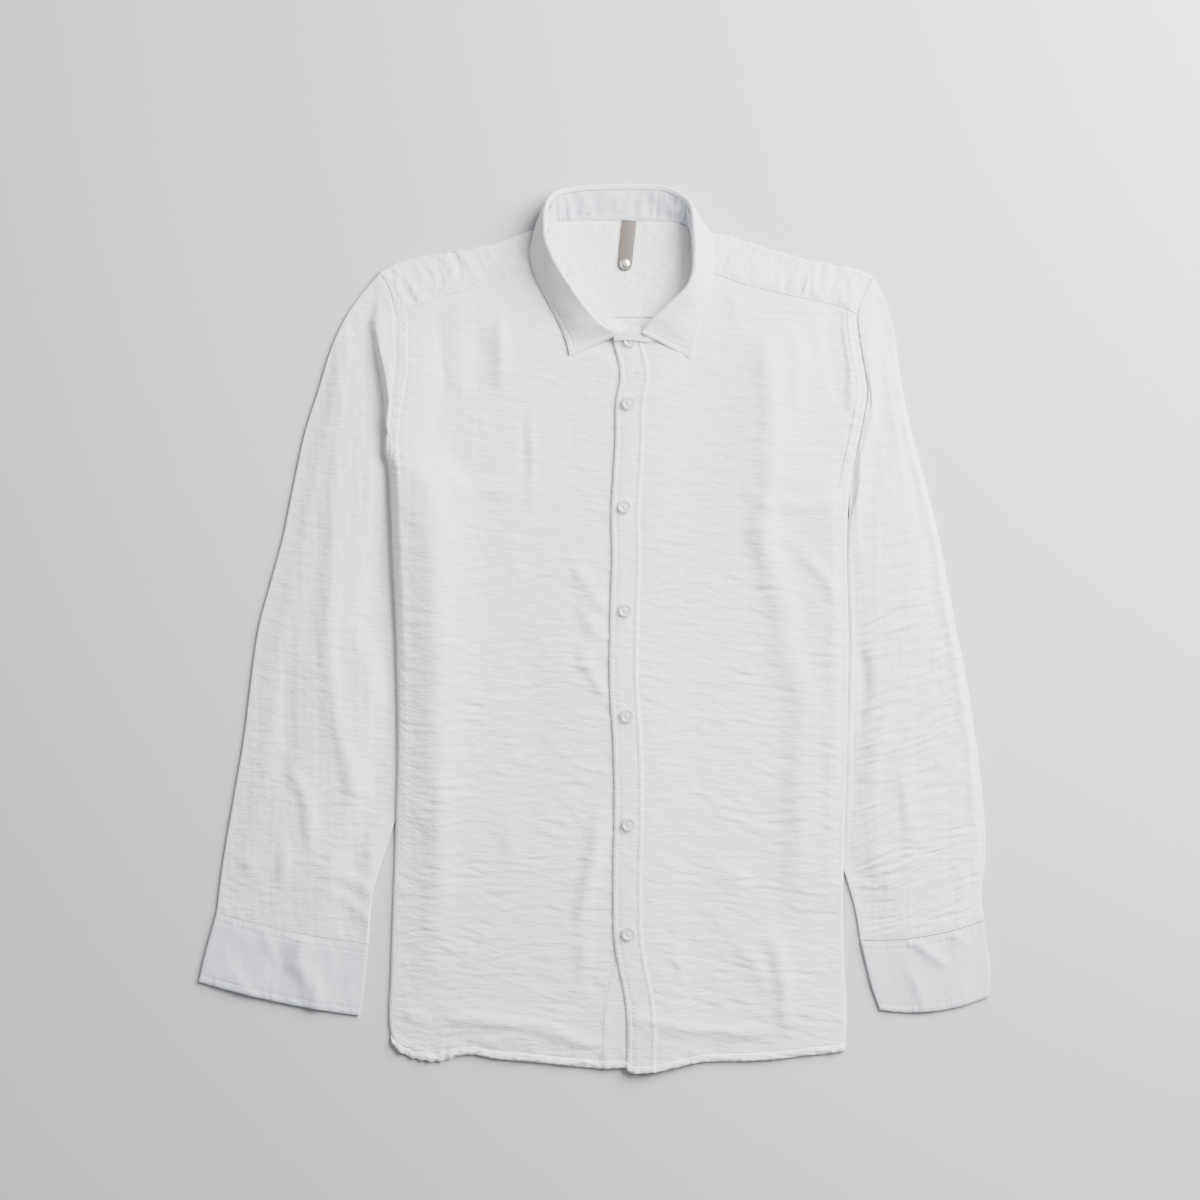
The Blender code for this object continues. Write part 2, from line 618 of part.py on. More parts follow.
def fold_path(neck, top, edge, radius, arc_steps, fall_steps):
    """The turned-down part at one section: up from the stand's seam, round the roll, down to the edge."""
    up = (top - neck).normalized()
    outward = edge - top
    outward = (outward - outward.dot(up) * up).normalized()
    seam = top - up * COLLAR_SEAM
    bend = top - up * radius
    centre = bend + outward * radius
    to_edge = edge - centre
    reach = math.hypot(to_edge.dot(outward), to_edge.dot(up))
    turn = math.atan2(-to_edge.dot(up), to_edge.dot(outward)) + math.acos(max(-radius / reach, -1.0))
    points = [seam]
    for i in range(arc_steps + 1):
        angle = turn * i / arc_steps
        points.append(centre - outward * radius * math.cos(angle) + up * radius * math.sin(angle))
    leave = points[-1]
    points += [leave.lerp(edge, (i + 1) / fall_steps) for i in range(fall_steps)]
    return points


COLLAR_COLUMNS = 36


def make_collar(poplin):
    section = by_row(COLLAR)
    last = len(COLLAR["tight"]) - 1
    arc_steps, fall_steps = 4, 3

    def place(column, row):
        number = last * column / COLLAR_COLUMNS
        neck, top, edge = collar_points(section, number)
        return fold_path(neck, top, edge, section["tight"](number), arc_steps, fall_steps)[row]

    cloth("collar", COLLAR_COLUMNS, 1 + arc_steps + fall_steps, place, poplin, side=0)


def make_stand(poplin):
    columns = [name for name in COLLAR if name[:4] in ("neck", "roll")]
    rows = {name: np.concatenate([COLLAR[name], STAND_END[name]]) for name in columns}
    rows["below"] = np.concatenate([np.full(len(COLLAR["tight"]), COLLAR_SEAM + 2 * SEAM), STAND_END["below"]])
    last = len(rows["neck_x"]) - 1
    folded = len(COLLAR["tight"]) - 1
    section = by_row(rows)
    end_columns, height_steps = 4, 3
    around = COLLAR_COLUMNS + end_columns

    def place(column, row):
        number = folded * column / COLLAR_COLUMNS
        if column > COLLAR_COLUMNS:
            number = mix(folded, last, (column - COLLAR_COLUMNS) / end_columns)
        neck, top = (Vector([section[f"{part}_{axis}"](number) for axis in "xyz"]) for part in ("neck", "roll"))
        up = (top - neck).normalized()
        return neck.lerp(top - up * section["below"](number), row / height_steps)

    cloth("collar_stand", around, height_steps, place, poplin, side=0)


# Trimmings

def turned(name, profile, look, at, steps=14):
    """A round piece turned about +Z from rows of radius and height, closed at its axis."""
    shape = bmesh.new()
    verts = [shape.verts.new((radius * MM, 0, height * MM)) for radius, height in profile]
    edges = [shape.edges.new(pair) for pair in zip(verts, verts[1:])]
    bmesh.ops.spin(
        shape, geom=verts + edges, angle=math.tau, steps=steps, axis=(0, 0, 1), cent=(0, 0, 0), use_merge=True
    )
    bmesh.ops.remove_doubles(shape, verts=shape.verts, dist=1e-6)
    bmesh.ops.recalc_face_normals(shape, faces=shape.faces)
    mesh = bpy.data.meshes.new(name)
    shape.to_mesh(mesh)
    shape.free()
    obj = finish(name, mesh, look)
    obj.location = Vector(at) * MM
    return obj


def make_buttons(clear):
    half = BUTTON_ACROSS / 2
    profile = (
        (0, 0), (half - 1.4, 0), (half, 0.9), (half, BUTTON_THICK - 0.4), (half - 0.7, BUTTON_THICK),
        (half - 1.6, BUTTON_THICK - 0.2), (half - 2.2, BUTTON_THICK - 0.8), (0, BUTTON_THICK - 0.8),
    )
    places = [(f"button_{i + 1}", x, y) for i, (x, y) in enumerate(zip(BUTTONS["x"], BUTTONS["y"]))]
    places.append(("button_collar", *COLLAR_BUTTON))
    for name, x, y in places:
        under = max(
            front_under(x + dx, y + dy) + overlap_rise(x + dx, y + dy)
            for dx in (-half, 0, half) for dy in (-half, 0, half)
        )
        turned(name, profile, clear, (x, y, under + 2 * LAYER))


def make_tab(taupe, steel):
    lean = Matrix.Rotation(-math.radians(TAB_LEAN), 4, "Z")
    half = TAB_WIDTH / 2
    outline = bpy.data.curves.new("neck_tab", "CURVE")
    outline.dimensions = "2D"
    outline.fill_mode = "BOTH"
    outline.extrude = TAB_THICK / 2 * MM
    turn = [math.pi + math.pi * i / 10 for i in range(11)]
    corners = [(half, 0)] + [(-half, 0)] + [
        (half * math.cos(a), -(TAB_LENGTH - half) + half * math.sin(a)) for a in turn
    ]
    spline = outline.splines.new("POLY")
    spline.points.add(len(corners) - 1)
    for point, (x, y) in zip(spline.points, corners):
        point.co = (x * MM, y * MM, 0, 1)
    spline.use_cyclic_u = True
    outline.materials.append(taupe)
    tab = bpy.data.objects.new("neck_tab", outline)
    collection.objects.link(tab)
    height = LAYER + TAB_THICK / 2
    tab.matrix_world = Matrix.Translation(Vector((*TAB_TOP, height)) * MM) @ lean
    half_stud = STUD_ACROSS / 2
    dome = [
        (half_stud * math.cos(a), 0.6 + (STUD_HEIGHT - 0.6) * math.sin(a))
        for a in (math.pi / 2 * i / 5 for i in range(6))
    ]
    centre = lean @ Vector((0, -(TAB_LENGTH - half), 0)) + Vector((*TAB_TOP, 0))
    dome = [(0, 0), (half_stud - 0.5, 0), *dome[:-1], (0, STUD_HEIGHT)]
    turned("tab_stud", dome, steel, (centre.x, centre.y, LAYER + TAB_THICK + SEAM), steps=20)


def main():
    clear_scene()
    linen = material("crinkled_linen", (0.80, 0.79, 0.77), 0.85)
    poplin = material("smooth_poplin", (0.74, 0.75, 0.78), 0.75)
    clear = material("clear_button", (0.86, 0.88, 0.90), 0.12, transmission=0.5)
    taupe = material("taupe_tab", (0.27, 0.22, 0.19), 0.6)
    steel = material("polished_stud", (0.75, 0.75, 0.74), 0.22, metallic=1.0)
    make_back(linen)
    make_fronts(linen)
    make_yoke(linen)
    make_sleeves(linen)
    make_cuffs(poplin)
    make_stand(poplin)
    make_collar(poplin)
    make_buttons(clear)
    make_tab(taupe, steel)
    bpy.context.view_layer.update()


main()
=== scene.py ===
# %% [markdown]
# # A crumpled linen shirt, laid flat on its back
# The CAD model holds every sewn piece as a plain solid: it says where each one lies, how high
# and how wide it is. In this lesson each of them becomes cloth, a thin shell on the same form
# with the folds, the crushed crinkles and the stitched seams of a gauze shirt. All lengths in
# the tables are millimetres; Blender works in metres, so they are scaled when a mesh is made.

import math

import bpy
import numpy as np
from mathutils import Matrix, Vector


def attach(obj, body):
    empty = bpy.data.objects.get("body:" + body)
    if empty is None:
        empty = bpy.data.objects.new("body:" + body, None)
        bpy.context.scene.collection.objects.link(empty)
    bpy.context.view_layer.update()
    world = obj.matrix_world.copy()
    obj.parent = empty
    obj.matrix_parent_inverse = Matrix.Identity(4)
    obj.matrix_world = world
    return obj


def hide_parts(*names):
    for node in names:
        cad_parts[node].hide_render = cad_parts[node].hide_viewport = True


MM = 0.001
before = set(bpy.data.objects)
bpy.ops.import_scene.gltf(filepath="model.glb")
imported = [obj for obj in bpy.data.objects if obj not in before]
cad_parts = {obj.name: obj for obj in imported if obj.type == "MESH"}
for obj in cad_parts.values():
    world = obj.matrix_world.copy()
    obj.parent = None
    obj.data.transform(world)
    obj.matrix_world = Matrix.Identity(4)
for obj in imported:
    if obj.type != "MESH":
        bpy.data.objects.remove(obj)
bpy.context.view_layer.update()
bpy.ops.object.select_all(action="DESELECT")

# %% [markdown]
# ## Camera, light and floor
# The shirt is seen straight from above. A long lens from 2.4 m keeps the far and near parts of
# such a flat thing at one scale. One large soft light stands at the upper right, low enough to
# rake across the cloth, because low crinkles only show by the shade on their far sides. A weak
# second light and a pale world fill the shadows.

# %% Camera
CAMERA_HEIGHT = 2.4
lens = bpy.data.cameras.new("camera")
lens.lens = 80
lens.sensor_width = 36
camera = bpy.data.objects.new("camera", lens)
camera.location = (4.5 * MM, 25.65 * MM, CAMERA_HEIGHT)
bpy.context.scene.collection.objects.link(camera)
bpy.context.scene.camera = camera
print("the view is", round(CAMERA_HEIGHT * lens.sensor_width / lens.lens, 2), "m wide at the floor")


# %% Lights
def fill_in(node, values):
    """Sets the named inputs of a node; a colour is given as red, green and blue."""
    for label, value in values.items():
        node.inputs[label].default_value = (*value, 1) if isinstance(value, tuple) else value


def softbox(name, place, width, watts, color):
    """A square area light at a place in metres that faces the middle of the shirt."""
    light = bpy.data.lights.new(name, "AREA")
    light.size = width
    light.energy = watts
    light.color = color
    lamp = bpy.data.objects.new(name, light)
    lamp.location = place
    lamp.rotation_euler = (-Vector(place)).to_track_quat("-Z", "Y").to_euler()
    bpy.context.scene.collection.objects.link(lamp)


softbox("key_light", (1.10, 0.82, 1.06), 1.25, 152, (1.0, 0.99, 0.975))
softbox("fill_light", (-1.6, 0.9, 2.4), 2.0, 16, (0.95, 0.97, 1.0))
world = bpy.data.worlds.new("soft_room")
world.use_nodes = True
fill_in(world.node_tree.nodes["Background"], {"Color": (0.93, 0.96, 1.0), "Strength": 0.28})
bpy.context.scene.world = world


# %% Floor
def new_material(name, values):
    """A material whose Principled shader has the named values; returns it, its tree and the shader."""
    made = bpy.data.materials.new(name)
    made.use_nodes = True
    shader = made.node_tree.nodes["Principled BSDF"]
    fill_in(shader, values)
    return made, made.node_tree, shader


UNDER_CLOTH = 0.3         # the floor lies this far below the cloth
bpy.ops.mesh.primitive_plane_add(size=8, location=(0, 0, -UNDER_CLOTH * MM))
floor = bpy.context.object
floor.name = "floor"
paint, _, _ = new_material("pale_floor", {"Base Color": (0.506, 0.511, 0.518), "Roughness": 0.8})
floor.data.materials.append(paint)

# %% [markdown]
# ## Cloth finishes
# Gauze and poplin are the same craft at two scales: threads that cross, a little uneven. One
# node group makes those threads from noise that is stretched along the warp and along the weft,
# so that no thread is quite straight or quite even. Each material places the group with its own
# thread size. A second group makes the smallest crush marks, too fine for the mesh. Both read
# the piece's own UV map, whose unit is one metre of cloth, so a pattern keeps its scale and
# turns with a sleeve or a collar. Where cloth is doubled it is a little lighter and puckers.


# %% Node helpers
def new_group(name, inputs, outputs):
    """An empty shader node group with float inputs, a vector called Place, and float outputs."""
    group = bpy.data.node_groups.new(name, "ShaderNodeTree")
    group.interface.new_socket("Place", in_out="INPUT", socket_type="NodeSocketVector")
    for label, value in inputs.items():
        socket = group.interface.new_socket(label, in_out="INPUT", socket_type="NodeSocketFloat")
        socket.default_value = value
    for label in outputs:
        group.interface.new_socket(label, in_out="OUTPUT", socket_type="NodeSocketFloat")
    start = group.nodes.new("NodeGroupInput")
    end = group.nodes.new("NodeGroupOutput")
    return group, start, end


def math_node(tree, operation, first, second):
    """A Math node on two sockets or numbers; returns its output socket."""
    node = tree.nodes.new("ShaderNodeMath")
    node.operation = operation
    for socket, value in zip(node.inputs, (first, second)):
        if isinstance(value, (int, float)):
            socket.default_value = value
        else:
            tree.links.new(value, socket)
    return node.outputs[0]


def stretched_noise(tree, place, across, up, detail=2.0, roughness=0.5):
    """Noise whose spots are across by up metres large on the cloth; returns its 0 to 1 value."""
    scale = tree.nodes.new("ShaderNodeVectorMath")
    scale.operation = "MULTIPLY"
    scale.inputs[1].default_value = (1 / across, 1 / up, 1)
    tree.links.new(place, scale.inputs[0])
    spots = tree.nodes.new("ShaderNodeTexNoise")
    fill_in(spots, {"Scale": 1, "Detail": detail, "Roughness": roughness})
    tree.links.new(scale.outputs[0], spots.inputs["Vector"])
    return spots.outputs["Fac"]


def add_bump(tree, height, strength, distance, shader):
    """Leads a height through a Bump node into the shader's normal."""
    bump = tree.nodes.new("ShaderNodeBump")
    fill_in(bump, {"Strength": strength, "Distance": distance})
    tree.links.new(height, bump.inputs["Height"])
    tree.links.new(bump.outputs["Normal"], shader.inputs["Normal"])


# %% Threads and crush marks
threads, start, end = new_group("woven_threads", {"Thread Size": 1.0}, ["Height", "Tone"])
finer = threads.nodes.new("ShaderNodeVectorMath")
finer.operation = "DIVIDE"
spread = threads.nodes.new("ShaderNodeCombineXYZ")
for socket in spread.inputs:
    threads.links.new(start.outputs["Thread Size"], socket)
threads.links.new(start.outputs["Place"], finer.inputs[0])
threads.links.new(spread.outputs[0], finer.inputs[1])
warp = stretched_noise(threads, finer.outputs[0], 0.0006, 0.012)
weft = stretched_noise(threads, finer.outputs[0], 0.012, 0.0006)
threads.links.new(math_node(threads, "ADD", warp, weft), end.inputs["Height"])
slubs = stretched_noise(threads, finer.outputs[0], 0.03, 0.003, detail=3.0)
tone = math_node(threads, "MULTIPLY", math_node(threads, "ADD", warp, slubs), 0.5)
threads.links.new(tone, end.inputs["Tone"])

crush, start, end = new_group("crush_marks", {"Depth": 1.0}, ["Height"])
long_marks = stretched_noise(crush, start.outputs["Place"], 0.010, 0.0026, detail=3.0)
short_marks = stretched_noise(crush, start.outputs["Place"], 0.0045, 0.0014)
marks = math_node(crush, "ADD", long_marks, math_node(crush, "MULTIPLY", short_marks, 0.45))
crush.links.new(math_node(crush, "MULTIPLY", marks, start.outputs["Depth"]), end.inputs["Height"])


# %% Cloth materials
def cloth_material(name, thin, full, thread_size, thread_depth, crush_depth, roughness):
    """Woven cloth: thin is its colour where one layer lies, full where it is doubled."""
    made, tree, shader = new_material(name, {
        "Roughness": roughness, "Sheen Weight": 0.12, "Sheen Roughness": 0.6, "Specular IOR Level": 0.25,
    })
    place = tree.nodes.new("ShaderNodeUVMap")
    place.uv_map = "cloth"
    weave = tree.nodes.new("ShaderNodeGroup")
    weave.node_tree = threads
    weave.inputs["Thread Size"].default_value = thread_size
    tree.links.new(place.outputs["UV"], weave.inputs["Place"])
    marks = tree.nodes.new("ShaderNodeGroup")
    marks.node_tree = crush
    marks.inputs["Depth"].default_value = crush_depth
    tree.links.new(place.outputs["UV"], marks.inputs["Place"])

    layers = tree.nodes.new("ShaderNodeAttribute")
    layers.attribute_name = "layers"
    body_tone = tree.nodes.new("ShaderNodeMix")
    body_tone.data_type = "RGBA"
    body_tone.inputs["A"].default_value = (*thin, 1)
    body_tone.inputs["B"].default_value = (*full, 1)
    tree.links.new(layers.outputs["Fac"], body_tone.inputs["Factor"])
    thread_tone = tree.nodes.new("ShaderNodeMix")
    thread_tone.data_type = "RGBA"
    thread_tone.blend_type = "MULTIPLY"
    thread_tone.inputs["Factor"].default_value = 0.10
    tree.links.new(body_tone.outputs["Result"], thread_tone.inputs["A"])
    tree.links.new(weave.outputs["Tone"], thread_tone.inputs["B"])
    tree.links.new(thread_tone.outputs["Result"], shader.inputs["Base Color"])

    puckers = stretched_noise(tree, place.outputs["UV"], 0.0032, 0.0032, detail=1.0)
    puckers = math_node(tree, "MULTIPLY", math_node(tree, "MULTIPLY", puckers, layers.outputs["Fac"]), 0.9)
    height = math_node(tree, "MULTIPLY", weave.outputs["Height"], thread_depth)
    height = math_node(tree, "ADD", height, puckers)
    height = math_node(tree, "ADD", height, marks.outputs["Height"])
    add_bump(tree, height, 1.0, MM, shader)
    return made


linen = cloth_material("crinkled_linen", (0.80, 0.795, 0.78), (0.86, 0.855, 0.845), 1.0, 0.16, 0.7, 0.85)
poplin = cloth_material("smooth_poplin", (0.735, 0.748, 0.78), (0.75, 0.763, 0.795), 0.6, 0.2, 0.3, 0.7)
# A darker, bluer poplin for the cuffs; on the collar band, which is of the collar's cloth, its darkness is
# painted shade
bluer_poplin_and_painted_shade = cloth_material("bluer_poplin_and_painted_shade", (0.645, 0.667, 0.73), (0.665, 0.688, 0.75), 0.6, 0.2, 0.3, 0.7)
thread, _, _ = new_material("sewing_thread", {"Base Color": (0.84, 0.84, 0.845), "Roughness": 0.55})

# %% [markdown]
# ## Measuring tape
# Everything on a garment follows curved edges. A table of a few measured points and a smooth
# curve through them is the pattern maker's French curve: short to write, easy to correct. Most
# tables are the ones that the solids are built on, so cloth and solid share their edges.


# %% Curves through measured points
def table(columns, *rows):
    """Rows of numbers as one array for each named column."""
    return dict(zip(columns.split(), np.array(rows, float).T))


def along(rows, key, column):
    """A smooth curve through one column of a table, as a function of its key column."""
    order = np.argsort(rows[key])
    keys, values = rows[key][order], rows[column][order]
    slopes = np.gradient(values, keys)

    def value(t):
        t = np.clip(t, keys[0], keys[-1])
        i = np.clip(np.searchsorted(keys, t, side="right") - 1, 0, len(keys) - 2)
        width = keys[i + 1] - keys[i]
        s = (t - keys[i]) / width
        start = (1 + 2 * s) * (1 - s) ** 2 * values[i] + s * (1 - s) ** 2 * width * slopes[i]
        end = s * s * (3 - 2 * s) * values[i + 1] + s * s * (s - 1) * width * slopes[i + 1]
        return start + end

    return value


def curve(columns, *rows):
    """The second column of a table as a function of the first."""
    return along(table(columns, *rows), *columns.split())


def by_row(rows):
    """Every column of a table as a smooth curve over the row's number."""
    count = len(next(iter(rows.values())))
    numbered = dict(rows, row=np.arange(count, dtype=float))
    return {name: along(numbered, "row", name) for name in rows}


def step(start, end, value):
    """0 before start, 1 after end, and a soft S between them; start may lie past end."""
    s = np.clip((value - start) / (end - start), 0.0, 1.0)
    return s * s * (3 - 2 * s)


def mix(a, b, share):
    return a + (b - a) * share


def bell(distance, width):
    """1 at distance 0, falling away softly to both sides over the width."""
    return np.exp(-(distance / width) ** 2)


def xyz(x, y, z):
    """One array of points from their three coordinates."""
    return np.stack(np.broadcast_arrays(x, y, z), axis=-1)


# %% Sizes of the cloth and its trimmings
WALL, SEAM = 1.2, 0.3     # the solids' wall, and the air between two solids
LAYER = WALL + SEAM
PUFF = 1.7                # how far the fronts stand off the back in the middle of a panel
SHOULDER_FOLD = 3.4       # height of the fold over the shoulders
SIDE_ROLL = 2.4           # radius of the fold down each side of the body
SLEEVE_EDGE, SLEEVE_PUFF = 2.8, 5.2
CUFF_EDGE, CUFF_PUFF = 3.7, 1.2
TUCK_LIFT = SLEEVE_EDGE + SEAM
TUCK_REACH, TUCK_SLOPE = 14.5, 46.0
PLACKET_WIDTH, BAND_WIDTH = 26.0, 28.0
HEM_DEEP, ARMHOLE_BAND = 7.0, 9.8
CLOTH = 0.6               # thickness of the gauze with its nap

# %% Outline of the body
right_side = curve(
    "y x",
    (320, -193.5), (310, -187), (298, -182.5), (284, -179.8), (262, -178.8), (236, -178),
    (210, -181.2), (184, -185.2), (160, -186), (140, -184.3), (108, -182.8), (60, -181),
    (8, -178.7), (-60, -177.3), (-127, -177.4), (-181, -179.5), (-244, -181.8),
    (-316, -184.2), (-352, -185.4), (-372, -183),
)
left_side = curve(
    "y x",
    (316, 249), (304, 243.6), (292, 238.5), (282, 236), (265, 237.2), (240, 241), (215, 245),
    (190, 241.5), (160, 235.5), (134, 230), (112, 227.6), (80, 226.5), (25, 228), (-10, 228.6),
    (-64, 227.6), (-127, 226.6), (-190, 224), (-244, 223), (-300, 224.2), (-352, 226.4), (-380, 225),
)
right_hem = curve(
    "x y",
    (-186, -366), (-183, -374), (-176, -381), (-166, -386), (-156, -388.4), (-141, -389.6),
    (-124, -384.4), (-110, -383.4), (-94, -386.5), (-70, -389), (-48, -391), (-13, -394.6),
    (6, -396), (30, -395.4),
)
left_hem = curve(
    "x y",
    (27, -396.4), (33, -399.8), (42, -400.4), (56, -399), (72, -395.6), (92, -391),
    (113, -389.6), (142, -389.2), (171, -387), (194, -384), (212, -382.4), (226, -380),
)
shoulder_right = curve(
    "x y",
    (-193.5, 320.6), (-180, 327.5), (-166, 331.8), (-131, 337.5), (-94, 345), (-72, 352), (-38.5, 364.5)
)
shoulder_left = curve(
    "x y", (80.5, 364.5), (104, 356.6), (131, 349), (166, 338), (202, 328.6), (239, 321), (249, 316.6)
)
yoke_seam_right = curve(
    "x y", (-180, 284), (-171, 286), (-140, 297.5), (-104, 307), (-72, 318), (-45, 325), (-26, 329)
)
yoke_seam_left = curve(
    "x y", (83, 328.5), (107, 319.4), (134, 309.6), (167, 301.2), (202, 294), (222, 289), (236, 282.6)
)
neck_back = curve(
    "x y", (-38.5, 363), (-33, 366.6), (-26, 367.4), (22, 368), (64, 367), (73, 365.4), (80.5, 362)
)
placket_edge = curve(
    "y x",
    (257, 16.8), (247, 19.6), (236, 22.2), (225, 22.9), (207, 19.6), (172, 18.6), (138, 16.8),
    (107, 15), (62, 15.6), (20, 14.2), (-60, 13.8), (-101, 16.6), (-172, 17.5), (-240, 16.6),
    (-284, 18), (-308, 22), (-326, 26), (-352, 29), (-395, 29),
)
band_stitch = curve(
    "y x",
    (266, 13), (240, 17), (172, 15), (80, 12.6), (-60, 12), (-172, 14.6), (-240, 15.2), (-284, 15),
    (-303, 13), (-321, 8), (-336, 5), (-352, 3.2), (-394, 2.6),
)
BACK_SEAM_Y = 280.0

# The neck's edge on the fronts, as shares of each front's width from its free edge
RIGHT_NECK = table(
    "share y",
    (0, 264.5), (0.07, 270.5), (0.126, 280), (0.188, 286.4), (0.247, 300.3), (0.28, 316), (0.291, 327.5)
)
LEFT_NECK = table(
    "share y",
    (0, 259.6), (0.0616, 259.8), (0.1232, 260), (0.17, 261.8), (0.218, 266.6), (0.26, 273.8),
    (0.293, 284), (0.316, 326.6),
)

# %% [markdown]
# ## How cloth lies and crushes
# Gauze that has been washed and wrung keeps two kinds of marks. Large soft folds come from how
# it was laid down, and are listed one by one, each as a line with a width and a height. Crinkles
# are countless, so noise makes them: noise that is stretched across the cloth gives long low
# swells, and the thin line where a second noise crosses zero gives the sharp creases between
# them. A seed makes them the same each time.


# %% Folds listed one by one
def relief(x, y, folds):
    """What the listed soft ridges and troughs add at a point.

    Rows with the same fold number are one line; width and height change evenly along it. The
    lines waver a little, since no fold in cloth is straight.
    """
    waver_x = x + 3.5 * noise(x / 42, y / 42, 70)
    waver_y = y + 3.5 * noise(x / 42, y / 42, 71)
    lines = {}
    for fold, x0, y0, width, height in zip(*(folds[name] for name in "fold x y width height".split())):
        lines.setdefault(fold, []).append((x0, y0, width, height))
    total = np.zeros(np.broadcast(x, y).shape)
    for line in lines.values():
        strongest = np.zeros_like(total)
        for (x0, y0, width0, height0), (x1, y1, width1, height1) in zip(line, line[1:]):
            run_x, run_y = x1 - x0, y1 - y0
            run = ((waver_x - x0) * run_x + (waver_y - y0) * run_y) / (run_x ** 2 + run_y ** 2)
            run = np.clip(run, 0.0, 1.0)
            distance = np.hypot(waver_x - x0 - run * run_x, waver_y - y0 - run * run_y)
            here = mix(height0, height1, run) * bell(distance, mix(width0, width1, run))
            strongest = np.where(np.abs(here) > np.abs(strongest), here, strongest)
        total = total + strongest
    return total


